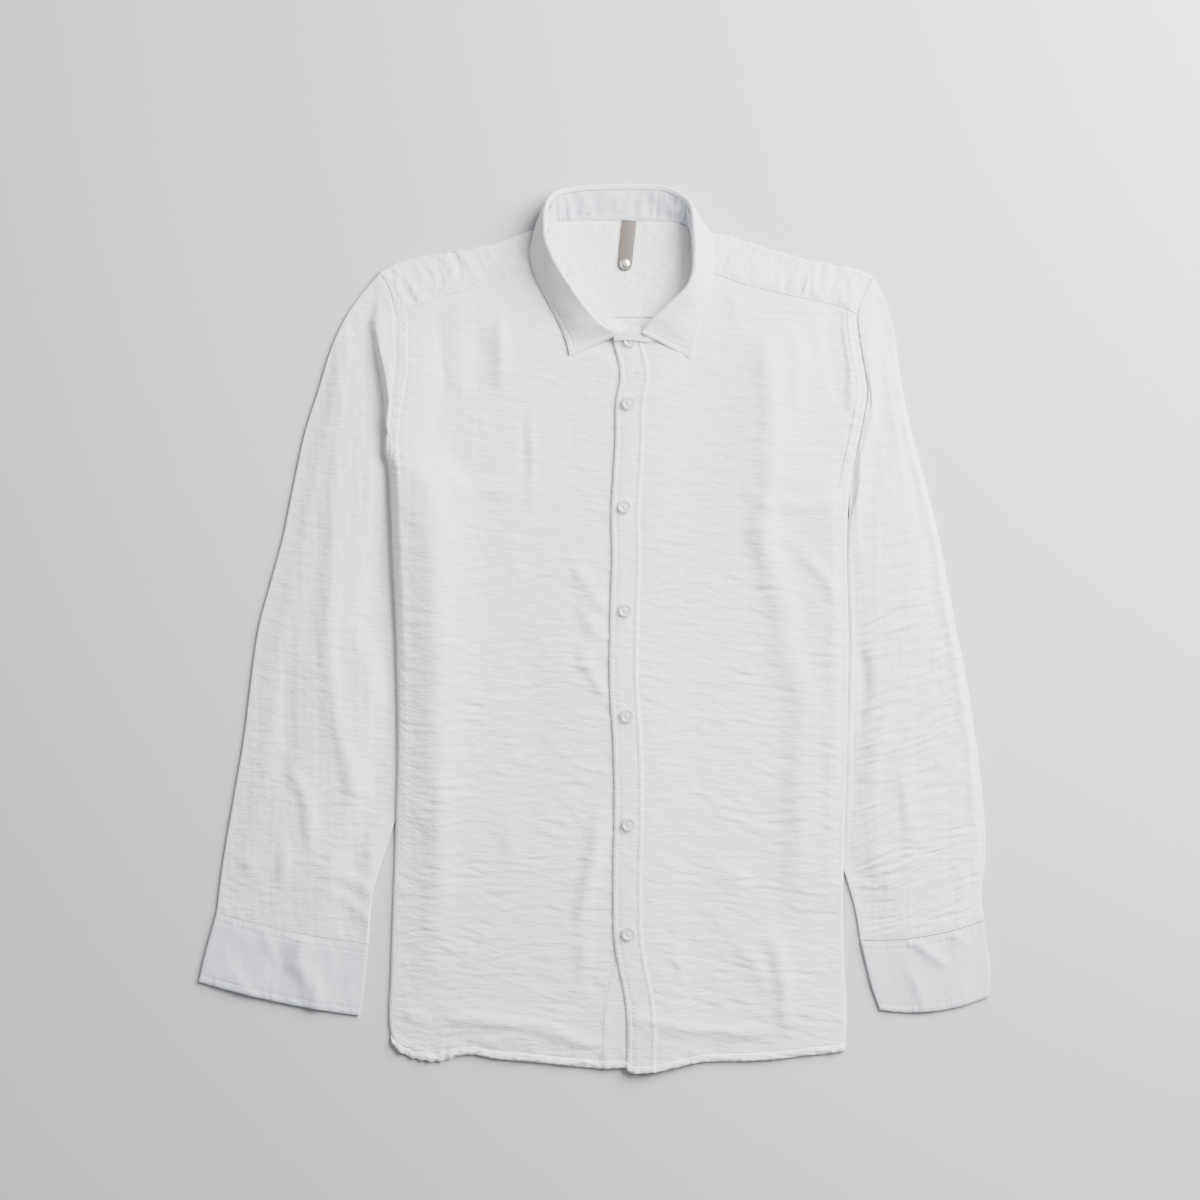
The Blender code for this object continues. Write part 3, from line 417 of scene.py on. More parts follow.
BODY_FOLDS = table(
    "fold x y width height",
    (1, -142, 288, 4, 0), (1, -141, 264, 5, -1.4), (1, -139, 228, 5, -1.4), (1, -136, 206, 4, 0),
    (2, -124, 291, 8, 0.4), (2, -123, 255, 10, 2.5), (2, -122, 219, 9, 2.1), (2, -122, 201, 8, 0),
    (3, -104, 276, 7, 0), (3, -102, 255, 8, -1.8), (3, -102, 222, 8, -1.7), (3, -102, 201, 7, 0),
    (4, -86, 288, 6, 0), (4, -84, 260, 6, 3), (4, -83, 225, 6, 2.5), (4, -83, 206, 6, 0),
    (5, -67, 204, 4, 0), (5, -66, 179, 4, -1.5), (5, -64, 147, 4, -1.5), (5, -62, 123, 4, 0),
    (6, -58, 192, 5, 0), (6, -56, 161, 5, 1.5), (6, -56, 134, 5, 1.4), (6, -56, 98, 5, 0),
    (7, -147, 170, 8, 0), (7, -134, 139, 8, 2), (7, -114, 123, 8, 2.2), (7, -78, 125, 8, 1.5),
    (7, -45, 134, 8, 0),
    (8, -147, 143, 14, 0.9), (8, -143, 80, 16, 3.6), (8, -141, -10, 16, 4.5), (8, -140, -118, 16, 4.5),
    (8, -141, -226, 14, 3.6), (8, -143, -298, 13, 0.8),
    (9, 3, 245, 10, 2.4), (9, 10, 234, 9, 2.4),
    (10, -26, 75, 6, 0), (10, -14, 51, 6, 2.1), (10, 7, 22, 6, 2.4),
    (11, -11, 27, 7, 0.6), (11, -3, 6, 7, 2.2), (11, 3, -21, 6, 0.4),
    (12, -15, -10, 6, 0), (12, -7, -30, 6, 2), (12, 4, -55, 6, 2),
    (13, -66, 8, 18, 0), (13, -61, -46, 20, -1.8), (13, -60, -118, 20, -1.5), (13, -66, -190, 16, 0),
    (14, -78, -154, 8, 0), (14, -76, -199, 8, 1.5), (14, -76, -231, 8, 0),
    (15, 4, -162, 7, 0.4), (15, 3, -186, 8, 3.3), (15, -3, -216, 8, 3.4), (15, -12, -249, 7, 2.7),
    (15, -16, -267, 7, 0.3),
    (16, -6, -267, 8, 0.4), (16, -11, -294, 8, 2.4), (16, -14, -324, 8, 0.6),
    (17, -148, -345, 8, 0), (17, -126, -351, 8, 2.4), (17, -86, -352, 8, 3.2), (17, -45, -360, 8, 2.8),
    (17, -9, -371, 7, 2.4), (17, 7, -376, 7, 0.9),
    (18, -120, -367, 4, 0), (18, -104, -368, 5, 2), (18, -76, -369, 5, 1.8), (18, -42, -377, 5, 0),
    (19, -177, -342, 7, 0.6), (19, -165, -347, 7, 2), (19, -147, -352, 7, 0.6),
    (20, 40, 231, 4, 1.8), (20, 60, 237, 5, 1.7), (20, 82, 244, 5, 0.3),
    (21, 40, 207, 4, 1.5), (21, 58, 216, 5, 1.2), (21, 73, 220, 5, 0),
    (22, 124, 296, 4, 1.2), (22, 127, 279, 4, 1.5), (22, 130, 255, 4, 0),
    (23, 156, 269, 8, 0), (23, 154, 240, 10, 3), (23, 155, 188, 10, 2.5), (23, 155, 134, 10, 2.5),
    (23, 152, 111, 9, 1.5),
    (24, 161, 278, 27, 0.8), (24, 161, 224, 31, 4.9), (24, 161, 143, 31, 5.3), (24, 163, 98, 27, 1.6),
    (25, 180, 264, 5, 0.8), (25, 182, 240, 5, 1.8), (25, 184, 210, 5, 1.4), (25, 186, 192, 5, 0),
    (26, 152, 111, 7, 1.4), (26, 184, 108, 7, 2.2), (26, 225, 115, 7, 1.8),
    (27, 146, 116, 11, 2.4), (27, 150, 89, 13, 6.1), (27, 160, 48, 14, 5.3), (27, 173, -10, 14, 4.6),
    (27, 184, -64, 14, 4.1), (27, 185, -136, 14, 3.6), (27, 180, -199, 13, 3.4), (27, 177, -244, 12, 0.5),
    (28, 222, 111, 11, 2.5), (28, 222, 62, 11, 5), (28, 222, -64, 11, 5.9), (28, 221, -172, 11, 5.5),
    (28, 219, -244, 11, 2.5),
    (29, 178, 80, 7, 0.8), (29, 195, 60, 7, 2.2), (29, 217, 29, 7, 1.8),
    (30, 215, 296, 6, -1.4), (30, 217, 269, 8, -5), (30, 219, 237, 8, -4.6), (30, 219, 205, 7, -0.8),
    (31, 229, 296, 6, 1.8), (31, 230, 260, 7, 5), (31, 233, 224, 7, 4.6), (31, 235, 179, 7, 2.8),
    (31, 230, 134, 7, 1.2),
    (32, 147, -267, 8, 0.3), (32, 163, -289, 8, 3), (32, 170, -316, 8, 3.4), (32, 169, -343, 7, 2.4),
    (32, 177, -360, 7, 0.4),
    (33, 120, -271, 8, 0.3), (33, 141, -294, 8, 2.1), (33, 152, -321, 7, 1.2),
    (34, 40, -352, 7, 1.4), (34, 86, -360, 7, 2), (34, 126, -364, 7, 2.8), (34, 153, -361, 7, 0.9),
    (35, 73, -285, 5, 0.4), (35, 76, -303, 5, 1.7), (35, 78, -325, 5, 0.3),
    (36, 180, -379, 6, 0.6), (36, 198, -381, 6, 1.4), (36, 220, -376, 6, 1.4),
    (37, 94, -208, 13, 0), (37, 126, -226, 13, 1.8), (37, 148, -240, 11, 0),
)


# %% Crinkles from noise
def noise(x, y, seed):
    """Smooth noise, about -1 to 1, that changes over one unit."""
    turns = np.random.default_rng(seed).uniform(0, math.tau, (128, 256))
    x, y = np.broadcast_arrays(np.asarray(x, float), np.asarray(y, float))
    column, row = np.floor(x).astype(int), np.floor(y).astype(int)
    right, up = x - column, y - row
    ease_x, ease_y = (t * t * t * (t * (6 * t - 15) + 10) for t in (right, up))

    def corner(dx, dy):
        turn = turns[(column + dx) % 128, (row + dy) % 256]
        return np.cos(turn) * (right - dx) + np.sin(turn) * (up - dy)

    low = mix(corner(0, 0), corner(1, 0), ease_x)
    high = mix(corner(0, 1), corner(1, 1), ease_x)
    return 1.5 * mix(low, high, ease_y)


def crinkles(across, length, seed, run=26.0, pitch=6.5):
    """Relief of crushed gauze, in mm; the crinkles run in the direction of across.

    Each wave leans over towards low values of length, so one of its sides is steep.
    """
    level = length + 6 * noise(across / 60, length / 45, seed)
    lean = noise(across / run, level / pitch, seed + 1)
    swell = noise(across / run, (level + 2.4 * lean) / pitch, seed + 1)
    second = noise(across / (0.75 * run), (level + 1.5 * lean) / (0.62 * pitch), seed + 2)
    troughs = np.abs(noise(across / (0.8 * run), (level + 1.5 * lean) / (0.8 * pitch), seed + 3))
    small = noise(across / (0.4 * run), level / (0.4 * pitch), seed + 4)
    uneven = mix(0.7, 1.25, step(-0.5, 0.5, noise(across / 60, length / 34, seed + 5)))
    return uneven * (0.20 * swell + 0.13 * second + 0.42 * np.minimum(troughs, 0.3) + 0.09 * small)


def pucker(run, away, reach, seed, pitch=5.0):
    """Short ripples that a row of stitches draws into the cloth beside it."""
    return noise(run / pitch, away / (3 * reach), seed) * bell(away, reach)


# %% Heights of the layers
# Cloth bunched in the armholes and below them raises the fronts' sides
right_bunch = curve(
    "y rise",
    (-230, 0), (-190, 0.3), (-160, 1.6), (-90, 3.4), (-20, 6.4), (50, 9.6), (120, 12), (200, 11.8),
    (235, 10), (262, 5.6), (288, 1.4), (310, 0),
)
left_bunch = curve(
    "y rise",
    (-230, 0), (-100, 0.5), (0, 0.8), (80, 1.4), (120, 2), (225, 2.2), (262, 1.4), (290, 0.4), (310, 0),
)


def side_lift(x, y):
    """How far the sides are raised by the sleeves' inner sides and the cloth bunched in the armholes."""
    right = step(165, 127, y) * step(-200, -155, y)
    left = step(150, 112, y) * step(-270, -228, y)
    from_right, from_left = x - right_side(y), left_side(y) - x
    tucked = right * step(TUCK_REACH + TUCK_SLOPE, TUCK_REACH, from_right)
    tucked = tucked + left * step(TUCK_REACH + TUCK_SLOPE, TUCK_REACH, from_left)
    bunch_end = mix(84, 58, step(110, 170, y))
    rounded = mix(1.0, 0.5, step(9, -1, from_right) * step(165, 140, y))
    bunched = right_bunch(y) * step(bunch_end, bunch_end - 50, from_right) * rounded
    bunched = bunched + left_bunch(y) * step(48, 9, from_left)
    return TUCK_LIFT * tucked + bunched


def hem_y(x):
    return np.where(x < 28, right_hem(x), left_hem(x))


def puff(x, y):
    """Air between the back and the fronts: none at the sides, the hem and the shoulder."""
    inside = np.minimum(x - right_side(y), left_side(y) - x)
    above = y - hem_y(x)
    fold_y = np.where(x < 22, shoulder_right(x), shoulder_left(x))
    room = step(2, 40, inside) * step(4, 45, above) * step(2, 50, fold_y - y)
    neck = step(30, 85, np.hypot(x - 26, 0.8 * (y - 310)))
    waves = relief(x, y, BODY_FOLDS) * step(4, 22, inside) * step(4, 16, above)
    return np.maximum((PUFF * room + waves) * mix(0.3, 1.0, neck) + 0.5, 0.5) * step(0, 3.5, inside)


def front_top(x, y):
    """Upper face of a front that lies on the back."""
    return side_lift(x, y) + LAYER + puff(x, y) + WALL


def overlap_rise(x, y):
    """How far the left front is raised where the right front and its band lie under it.

    Its free edge hugs the band, so that it throws only a thin shadow.
    """
    from_edge = x - placket_edge(y)
    level = step(PLACKET_WIDTH + 52, PLACKET_WIDTH + 4, from_edge)
    return mix(1.9, 2 * LAYER, step(0, 9, from_edge)) * level


def underlap_rise(x, y):
    """How far the right front is raised towards the placket, over what lies below."""
    return 0.6 * step(-45, 0, x - placket_edge(y))


# %% [markdown]
# ## Making a sheet
# A sewn piece is a rectangle of cloth in disguise: rows run along it and columns across it. So
# a mesh of quads whose points come as one array of rows and columns can be any of them, and a
# ring of columns is a sleeve. The array is shaped with plain arithmetic, which is quick for
# fifty thousand points. The Solidify modifier then gives the cloth its thickness, inwards from
# the face that was shaped, and to both sides of it in the collar and the stand.


# %% Sheets from rows and columns of points
def normals_of(points):
    """The unit normal at each point of a sheet, from its neighbours."""
    facing = np.cross(np.gradient(points, axis=1), np.gradient(points, axis=0))
    return facing / np.maximum(np.linalg.norm(facing, axis=-1, keepdims=True), 1e-9)


def raised(points, amount):
    """The sheet with each point moved out along its normal."""
    return points + normals_of(points) * amount[..., None]


def running_length(points, axis):
    """Length along the rows or the columns, averaged over the sheet, starting at 0."""
    steps = np.linalg.norm(np.diff(points, axis=axis), axis=-1).mean(axis=1 - axis)
    return np.concatenate([[0.0], np.cumsum(steps)])


def sheet(
    name, points, look, wall=CLOTH, offset=-1.0,
    ring=False, layers=0.0, hole=None, turned_cut=False, grain=None,
):
    """Makes the piece's object from its points in mm, with a UV map in metres of cloth.

    A ring joins its last column to its first; layers is 1 where the cloth is doubled; hole is
    true for each face that is left out; a turned cut has the threads the other way round; grain
    gives each point's place on the cut cloth where the rows don't follow the threads.
    """
    rows, columns = points.shape[:2]
    index = np.arange(rows * columns).reshape(rows, columns)
    spread = points
    if ring:
        index = np.hstack([index, index[:, :1]])
        spread = np.concatenate([points, points[:, :1]], axis=1)
    corners = np.stack([index[:-1, :-1], index[:-1, 1:], index[1:, 1:], index[1:, :-1]], axis=-1)
    # A quad is drawn as two triangles along its first diagonal, which should be the shorter one
    rising = np.linalg.norm(spread[1:, 1:] - spread[:-1, :-1], axis=-1)
    falling = np.linalg.norm(spread[1:, :-1] - spread[:-1, 1:], axis=-1)
    swapped = (falling < rising)[..., None]
    corners = np.where(swapped, np.roll(corners, -1, axis=-1), corners)
    kept = np.ones(corners.shape[:2], bool) if hole is None else ~hole
    used, faces = np.unique(corners[kept], return_inverse=True)
    mesh = bpy.data.meshes.new(name)
    mesh.from_pydata(points.reshape(-1, 3)[used] * MM, [], faces.reshape(-1, 4).tolist())

    if grain is None:
        u, v = np.meshgrid(running_length(spread, 1), running_length(spread, 0))
        grain = np.stack([v, u] if turned_cut else [u, v], axis=-1)
    loops = np.stack([grain[:-1, :-1], grain[:-1, 1:], grain[1:, 1:], grain[1:, :-1]], axis=-2)
    loops = np.where(swapped[..., None], np.roll(loops, -1, axis=-2), loops)
    mesh.uv_layers.new(name="cloth").data.foreach_set("uv", loops[kept].ravel() * MM)
    doubled = mesh.attributes.new("layers", "FLOAT", "POINT")
    amount = np.broadcast_to(layers, (rows, columns))
    doubled.data.foreach_set("value", amount.ravel()[used].astype(np.float32))
    mesh.materials.append(look)
    mesh.shade_smooth()

    piece = bpy.data.objects.new(name, mesh)
    bpy.context.scene.collection.objects.link(piece)
    solid = piece.modifiers.new("thickness", "SOLIDIFY")
    solid.thickness = wall * MM
    solid.offset = offset
    bpy.context.view_layer.objects.active = piece
    bpy.ops.object.modifier_apply(modifier="thickness")
    # Inside a sharp fold the inner face would come out below the surface that the shirt lies on
    corner = np.empty(3 * len(piece.data.vertices), np.float32)
    piece.data.vertices.foreach_get("co", corner)
    corner[2::3] = np.maximum(corner[2::3], 0)
    piece.data.vertices.foreach_set("co", corner)
    piece.data.set_sharp_from_angle(angle=math.radians(60))
    triangles = sum(len(face.vertices) - 2 for face in piece.data.polygons)
    print(name, rows, "rows,", columns, "columns,", triangles, "triangles")
    return piece


def dress(piece, node):
    """The piece stands for its CAD node, which it hides, and rides with the shirt."""
    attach(piece, "root")
    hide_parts(node)


# %% [markdown]
# ## The back
# The back lies face down on the table and carries everything else. Its sides are lifted by the
# sleeves that are tucked under them and by the cloth that is bunched in the armholes. Only a
# strip of its inner face shows, inside the neck, so its mesh can be coarser than the fronts'.

# %% Back
HEM_STEP = 2.5            # the back's hem stays this far inside the fronts'
SIDE_INSET = 3.0          # and its sides, below the armholes, this far
LOWEST_ROW, STRAIGHT_ROW = -398.0, -300.0    # the rows between them bend to follow the hem
back_columns = np.concatenate([
    np.linspace(0, 34, 10), np.linspace(34, 384, 44)[1:-1], np.linspace(384, 418, 10),
]) / 418
back_rows = np.linspace(LOWEST_ROW, BACK_SEAM_Y - 0.2, 140)[:, None]
back_start = right_side(back_rows) + SIDE_INSET * step(178, 156, back_rows)
back_end = left_side(back_rows) - SIDE_INSET * step(164, 140, back_rows)
x = mix(back_start, back_end, back_columns[None, :])
from_lowest = (back_rows - LOWEST_ROW) / (STRAIGHT_ROW - LOWEST_ROW)
bent = mix(hem_y(x) + HEM_STEP, STRAIGHT_ROW, from_lowest)
y = np.where(back_rows < STRAIGHT_ROW, bent, back_rows)
near_seam = bell(BACK_SEAM_Y - y, 2.5)
z = side_lift(x, y) + 0.4 * np.abs(crinkles(x, y, 400)) * step(0, 12, BACK_SEAM_Y - y) + 0.3 * near_seam
back = sheet("back_cloth", xyz(x, y, z)[:, ::-1], linen, layers=step(9, 6, BACK_SEAM_Y - y))
dress(back, "back")

# %% [markdown]
# ## Sleeves
# A sleeve on a table is a tube pressed flat: two soft folds and two layers. Its rows are rings,
# each a half-round fold at the outer side, the top layer, the inner fold and the layer below.
# The top layer carries the listed folds and the crinkles. Towards the armhole it swells a
# little and then dips, as the seam draws it down.

# %% Sleeve sections
RIGHT_SLEEVE = table(
    "out_x out_y in_x in_y bow",
    (-193.9, 320.6, -185.7, 147, 0), (-210, 301, -177.0, 132, 0), (-225, 279, -173.0, 114, 0),
    (-238, 250, -171, 93, 0), (-249, 214, -169.5, 68, 0), (-261, 176, -170, 40, 0),
    (-272, 125, -168.5, 8, 0), (-281, 81, -168, -26, 0), (-292.5, 39, -167.5, -60, 0),
    (-303, -1, -167.5, -95, 0), (-310, -51, -168, -125, 0), (-315.5, -96, -171.5, -148, 0),
    (-323, -141, -178, -168, 0), (-331, -187, -188.5, -200, 0), (-336.5, -223, -199.5, -238, 0),
    (-340.4, -255.2, -203.8, -283.7, 3),
)
LEFT_SLEEVE = table(
    "out_x out_y in_x in_y bow",
    (249.4, 316.6, 230.6, 133, 0), (260, 298, 229.0, 117, 0), (268.6, 268, 228.0, 99, 0),
    (274.6, 226, 222, 78, 0), (284, 180, 218, 53, 0), (297, 132, 217, 24, 0),
    (308.7, 84, 217.5, -10, 0), (317, 41, 218, -45, 0), (325, -1, 217.5, -80, 0),
    (333, -40, 217, -115, 0), (339.3, -79, 216.5, -150, 0), (345.6, -124, 216.5, -180, 0),
    (350, -168, 219.5, -205, 0), (351, -206, 227, -228, 2), (347.6, -238, 234, -253, 4),
    (349.6, -262.4, 238.5, -280.1, 5.5),
)
RIGHT_SLEEVE_FOLDS = table(
    "fold x y width height",
    (1, -230, 273, 8, 0.4), (1, -231, 206, 9, 1.2), (1, -232, 134, 9, 1.3), (1, -234, 80, 9, 2.5),
    (1, -238, 26, 9, 2.9), (1, -238, -19, 9, 2.9), (1, -236, -64, 10, 2.9), (1, -225, -105, 10, 3),
    (1, -218, -141, 9, 2.6), (1, -214, -163, 8, 0.3),
    (2, -204, -55, 8, 0.3), (2, -199, -91, 9, -2.1), (2, -199, -136, 9, -1.8), (2, -204, -163, 8, 0),
    (3, -201, -154, 8, 0.3), (3, -202, -199, 9, 2.3), (3, -204, -262, 9, 2.3), (3, -204, -280, 8, 1),
    (4, -274, -123, 6, 0.3), (4, -263, -141, 7, 2.6), (4, -255, -177, 7, 2.7), (4, -253, -210, 7, 0.5),
    (5, -281, -189, 6, 0.4), (5, -279, -210, 6, 2.3), (5, -281, -235, 6, 0.3),
    (6, -240, -216, 6, 0.4), (6, -220, -225, 7, 2.2), (6, -199, -241, 7, 1.6),
    (7, -237, -237, 5, 0.4), (7, -222, -244, 5, 1.7), (7, -204, -260, 5, 1.2),
    (8, -277, -10, 9, -0.3), (8, -276, -55, 9, -2), (8, -275, -100, 9, -2), (8, -283, -145, 8, -0.4),
    (9, -300, -226, 6, 0.3), (9, -310, -214, 6, 1.6), (9, -321, -208, 6, 0.8),
)
LEFT_SLEEVE_FOLDS = table(
    "fold x y width height",
    (1, 254, 299, 7, -0.6), (1, 256, 260, 9, -1.6), (1, 256, 206, 10, -2.0), (1, 252, 152, 10, -1.8),
    (1, 246, 107, 9, -1.0), (1, 240, 62, 7, 0),
    (2, 272, 296, 9, 0.5), (2, 274, 242, 9, 1.3), (2, 279, 188, 9, 1.6), (2, 282, 161, 8, 0),
    (3, 282, 188, 7, 0.7), (3, 297, 134, 8, 2.6), (3, 310, 71, 8, 3.1), (3, 319, 8, 8, 3.1),
    (3, 330, -55, 8, 2.9), (3, 338, -118, 8, 2.6), (3, 345, -181, 8, 2.6), (3, 343, -235, 7, 1),
    (4, 238, -10, 6, -0.5), (4, 240, -37, 7, -3.4), (4, 241, -69, 7, -3.4), (4, 237, -100, 6, -0.8),
    (5, 260, -55, 7, 0.4), (5, 262, -75, 7, 1.8), (5, 251, -108, 7, 2.3), (5, 248, -132, 7, 0.8),
    (6, 274, -114, 7, 0.4), (6, 279, -145, 8, 2.5), (6, 284, -190, 8, 2.1), (6, 283, -217, 7, 0.4),
    (7, 279, 98, 11, 0.3), (7, 288, 26, 11, 1.2), (7, 285, -28, 11, 0.3),
    (8, 324, -213, 6, 0.3), (8, 330, -235, 6, 1.8), (8, 328, -252, 6, 0.4),
    (9, 238, 140, 8, 0.2), (9, 230, 100, 9, 1.9), (9, 226, 40, 9, 2.4), (9, 226, -64, 9, 2.4),
    (9, 226, -150, 9, 2.2), (9, 231, -205, 8, 0.4),
)
# The valley in the right sleeve beside the armhole, where the cap of the sleeve ends
cap_valley = curve(
    "y x",
    (291, -202.5), (279, -204.3), (253, -200.7), (234, -196.2), (210, -192.6), (181, -189), (160, -186),
)


# %% Flat tubes
def tube_points(sections, rows, edge, top_points, under_points, edge_points=6):
    """Rings of a flattened tube, with the distances from both folds and the top's columns."""
    section = by_row(sections)
    last = len(sections["bow"]) - 1
    number = np.linspace(0, last, rows)[:, None]
    outer_x, outer_y = section["out_x"](number), section["out_y"](number)
    inner_x, inner_y = section["in_x"](number), section["in_y"](number)
    length = np.hypot(inner_x - outer_x, inner_y - outer_y)
    r = edge / 2
    turn = math.pi * np.arange(1, edge_points) / edge_points
    over = np.linspace(0, 1, top_points)
    under = np.linspace(0, 1, under_points)
    reach = np.hstack([
        mix(r, length - r, over),
        length - r + r * np.sin(turn),
        mix(length - r, r, under),
        r - r * np.sin(turn) + 0 * length,
    ])
    share = reach / length
    x = mix(outer_x, inner_x, share)
    y = mix(outer_y, inner_y, share) - section["bow"](number) * 4 * share * (1 - share)
    z = np.hstack([
        np.full((rows, top_points), edge),
        r + r * np.cos(turn) + 0 * length,
        np.zeros((rows, under_points)),
        r - r * np.cos(turn) + 0 * length,
    ])
    return x, y, z, reach, length - reach, number, np.arange(top_points)


# %% Sleeve shape
SLEEVE_ROWS, SLEEVE_TOP, SLEEVE_UNDER = 330, 76, 10


def sleeve_points(sections, folds, armhole, bunch, sign, seed, slant):
    """A sleeve's rings in mm and their places on the cut cloth; sign is -1 right and 1 left."""
    x, y, z, reach, rest, number, top = tube_points(
        sections, SLEEVE_ROWS, SLEEVE_EDGE, SLEEVE_TOP, SLEEVE_UNDER
    )
    share = reach / (reach + rest)
    chord_y = mix(sections["out_y"][0], sections["in_y"][0], share)
    chord_x = mix(sections["out_x"][0], sections["in_x"][0], share)
    x = x + (armhole(chord_y) + 0.2 * sign - chord_x) * step(3.5, 0, number)
    on_top = (slice(None), top)
    xt, yt = x[on_top], y[on_top]
    # The right sleeve stays low beside the raised side of the body, in its shadow
    low = step(255, 225, yt) * step(-60, 20, yt) * (sign < 0)
    domed = 0.55 * step(2, 28, reach[on_top]) + 0.45 * step(8, 76, reach[on_top])
    from_armhole = np.hypot(x - x[:1], y - y[:1])[on_top]
    from_cuff = np.hypot(x - x[-1:], y - y[-1:])[on_top]
    start, full = (6.5, 40) if sign > 0 else (mix(19, 34, low), mix(45, 74, low))
    inside = np.minimum(domed, step(start, full, rest[on_top]))
    inside = inside * mix(0.32, 1.0, step(0, 70, from_cuff))
    ending = step(-0.5, 1.5, number)
    body_gap = sign * (xt - armhole(yt))
    if sign < 0:
        valley_gap = xt - cap_valley(yt)
        cap = step(1, np.clip(valley_gap + body_gap - 1, 3, 8), valley_gap) * step(158, 176, yt)
        sunk = 2.6 * bell(valley_gap + 4, 12) * step(120, 160, yt) * step(300, 282, yt)
    else:
        cap = step(14, 1, body_gap) * step(128, 150, yt)
        sunk = 0.0
    height = SLEEVE_EDGE + (SLEEVE_PUFF * inside - sunk) * ending
    clear_of_seams = step(0, 8, from_armhole) * step(0, 9, from_cuff)
    height = height + relief(xt, yt, folds) * step(0, 9, reach[on_top]) * clear_of_seams
    height = np.maximum(height, SLEEVE_EDGE) + bunch(yt) * cap
    soft = step(1, 7, reach[on_top]) * step(3, 16, rest[on_top])
    if sign < 0:
        crushed = crinkles(xt, yt - slant * xt, seed) * mix(1.5, 2.3, step(100, -60, yt))
    else:
        crushed = crinkles(xt, yt - slant * xt, seed, run=36, pitch=5.8)
        crushed = crushed * mix(4.6, 6.2, step(100, -20, yt)) * mix(1.0, 0.7, step(-60, -180, yt))
        # The body's fold pushes a small ridge up beside it
        height = height + 1.2 * bell(body_gap - 1.6, 2.2) * step(125, 95, yt) * step(-215, -185, yt)
    clear_of_body = step(2, mix(9, 20, step(90, 130, yt)), body_gap)
    height = height + crushed * soft * clear_of_body * clear_of_seams
    height = height + 0.3 * noise(xt / 5, yt / 40, seed + 22) * soft
    height = height + 1.1 * bell(from_armhole, 9) - 0.4 * bell(from_armhole, 1.6)
    height = height + 0.6 * pucker(yt - 0.5 * xt, from_armhole, 11, seed + 20, 6.0) * soft
    height = height - 0.5 * bell(from_cuff, 2.0)
    height = height + 0.6 * pucker(xt, from_cuff, 14, seed + 21, 6.0) * soft * step(0, 5, from_cuff)
    # The part below the body fills the room under the raised side
    joined = step(144, 158, yt)
    tucked = step(178, 168, yt) * step(-228, -200, yt) * step(0.5 + 4 * joined, -3.5 + 3 * joined, body_gap)
    height = mix(height, np.maximum(side_lift(xt, yt) - SEAM, height), tucked)
    z[on_top] = height
    # On the cut cloth the part below is folded out beyond the inner fold
    order = np.arange(x.shape[1])[::sign]
    closed = np.append(order, order[0])
    folded_out = closed > top[-1]
    folded_out[-1] = sign > 0
    u = np.where(folded_out, 2 * x[:, top[-1:]] - x[:, closed], x[:, closed])
    grain = np.stack([u + slant * y[:, closed], y[:, closed] - slant * u], axis=-1)
    return xyz(x, y, z)[:, order], grain


# %% Both sleeves
for name, sections, folds, armhole, bunch, sign, seed, slant in (
    ("right", RIGHT_SLEEVE, RIGHT_SLEEVE_FOLDS, right_side, right_bunch, -1, 100, -0.05),
    ("left", LEFT_SLEEVE, LEFT_SLEEVE_FOLDS, left_side, left_bunch, 1, 140, 0.30),
):
    points, grain = sleeve_points(sections, folds, armhole, bunch, sign, seed, slant)
    sleeve = sheet(f"sleeve_{name}_cloth", points, linen, ring=True, grain=grain)
    dress(sleeve, f"sleeve_{name}")

# %% [markdown]
# ## Cuffs
# The cuffs are poplin, smoother and a little bluer than the gauze, and interlined, so they keep
# a clean edge and hardly crinkle. They are flat tubes like the sleeves, with rows of stitching
# near both ends that press a shallow groove into them.

# %% Cuff sections and cuffs
RIGHT_CUFF = table(
    "out_x out_y in_x in_y bow",
    (-340.5, -255.6, -203.8, -284.1, 3), (-347.4, -280, -205.2, -303.6, 3),
    (-352.4, -299, -207.6, -325, 3), (-356.4, -317.3, -211.5, -347.9, 3),
)
LEFT_CUFF = table(
    "out_x out_y in_x in_y bow",
    (349.7, -263.1, 238.5, -280.8, 5.5), (352, -282, 242.6, -298, 6),
    (355.6, -309, 248.6, -322, 6.5), (354.6, -330.6, 256, -342.6, 7),
)
CUFF_FOLDS = table(
    "fold x y width height",
    (1, -266, -262, 8, 1.6), (1, -262, -284, 11, 4.2), (1, -264, -300, 11, 4.6), (1, -250, -334, 9, 3),
    (2, -300, -264, 5, 0.5), (2, -294, -280, 6, 1.2), (2, -290, -297, 5, 0.4),
    (3, -241, -280, 4, 0.4), (3, -237, -297, 4, 1.4), (3, -234, -312, 4, 0.4),
    (4, -328, -303, 5, 0.5), (4, -315, -321, 6, 1.2), (4, -306, -334, 5, 0.4),
    (5, 273, -271, 5, 0.8), (5, 291, -283, 6, 2.4), (5, 312, -300, 6, 1.5),
    (6, 314, -266, 4, 0.8), (6, 324, -275, 5, 2.1), (6, 339, -288, 5, 0.6),
    (7, 276, -306, 5, 0.4), (7, 287, -324, 6, 1.6), (7, 294, -338, 5, 0.8),
)
CUFF_ROWS, CUFF_TOP, CUFF_UNDER = 56, 84, 20
cuff_grids = {}
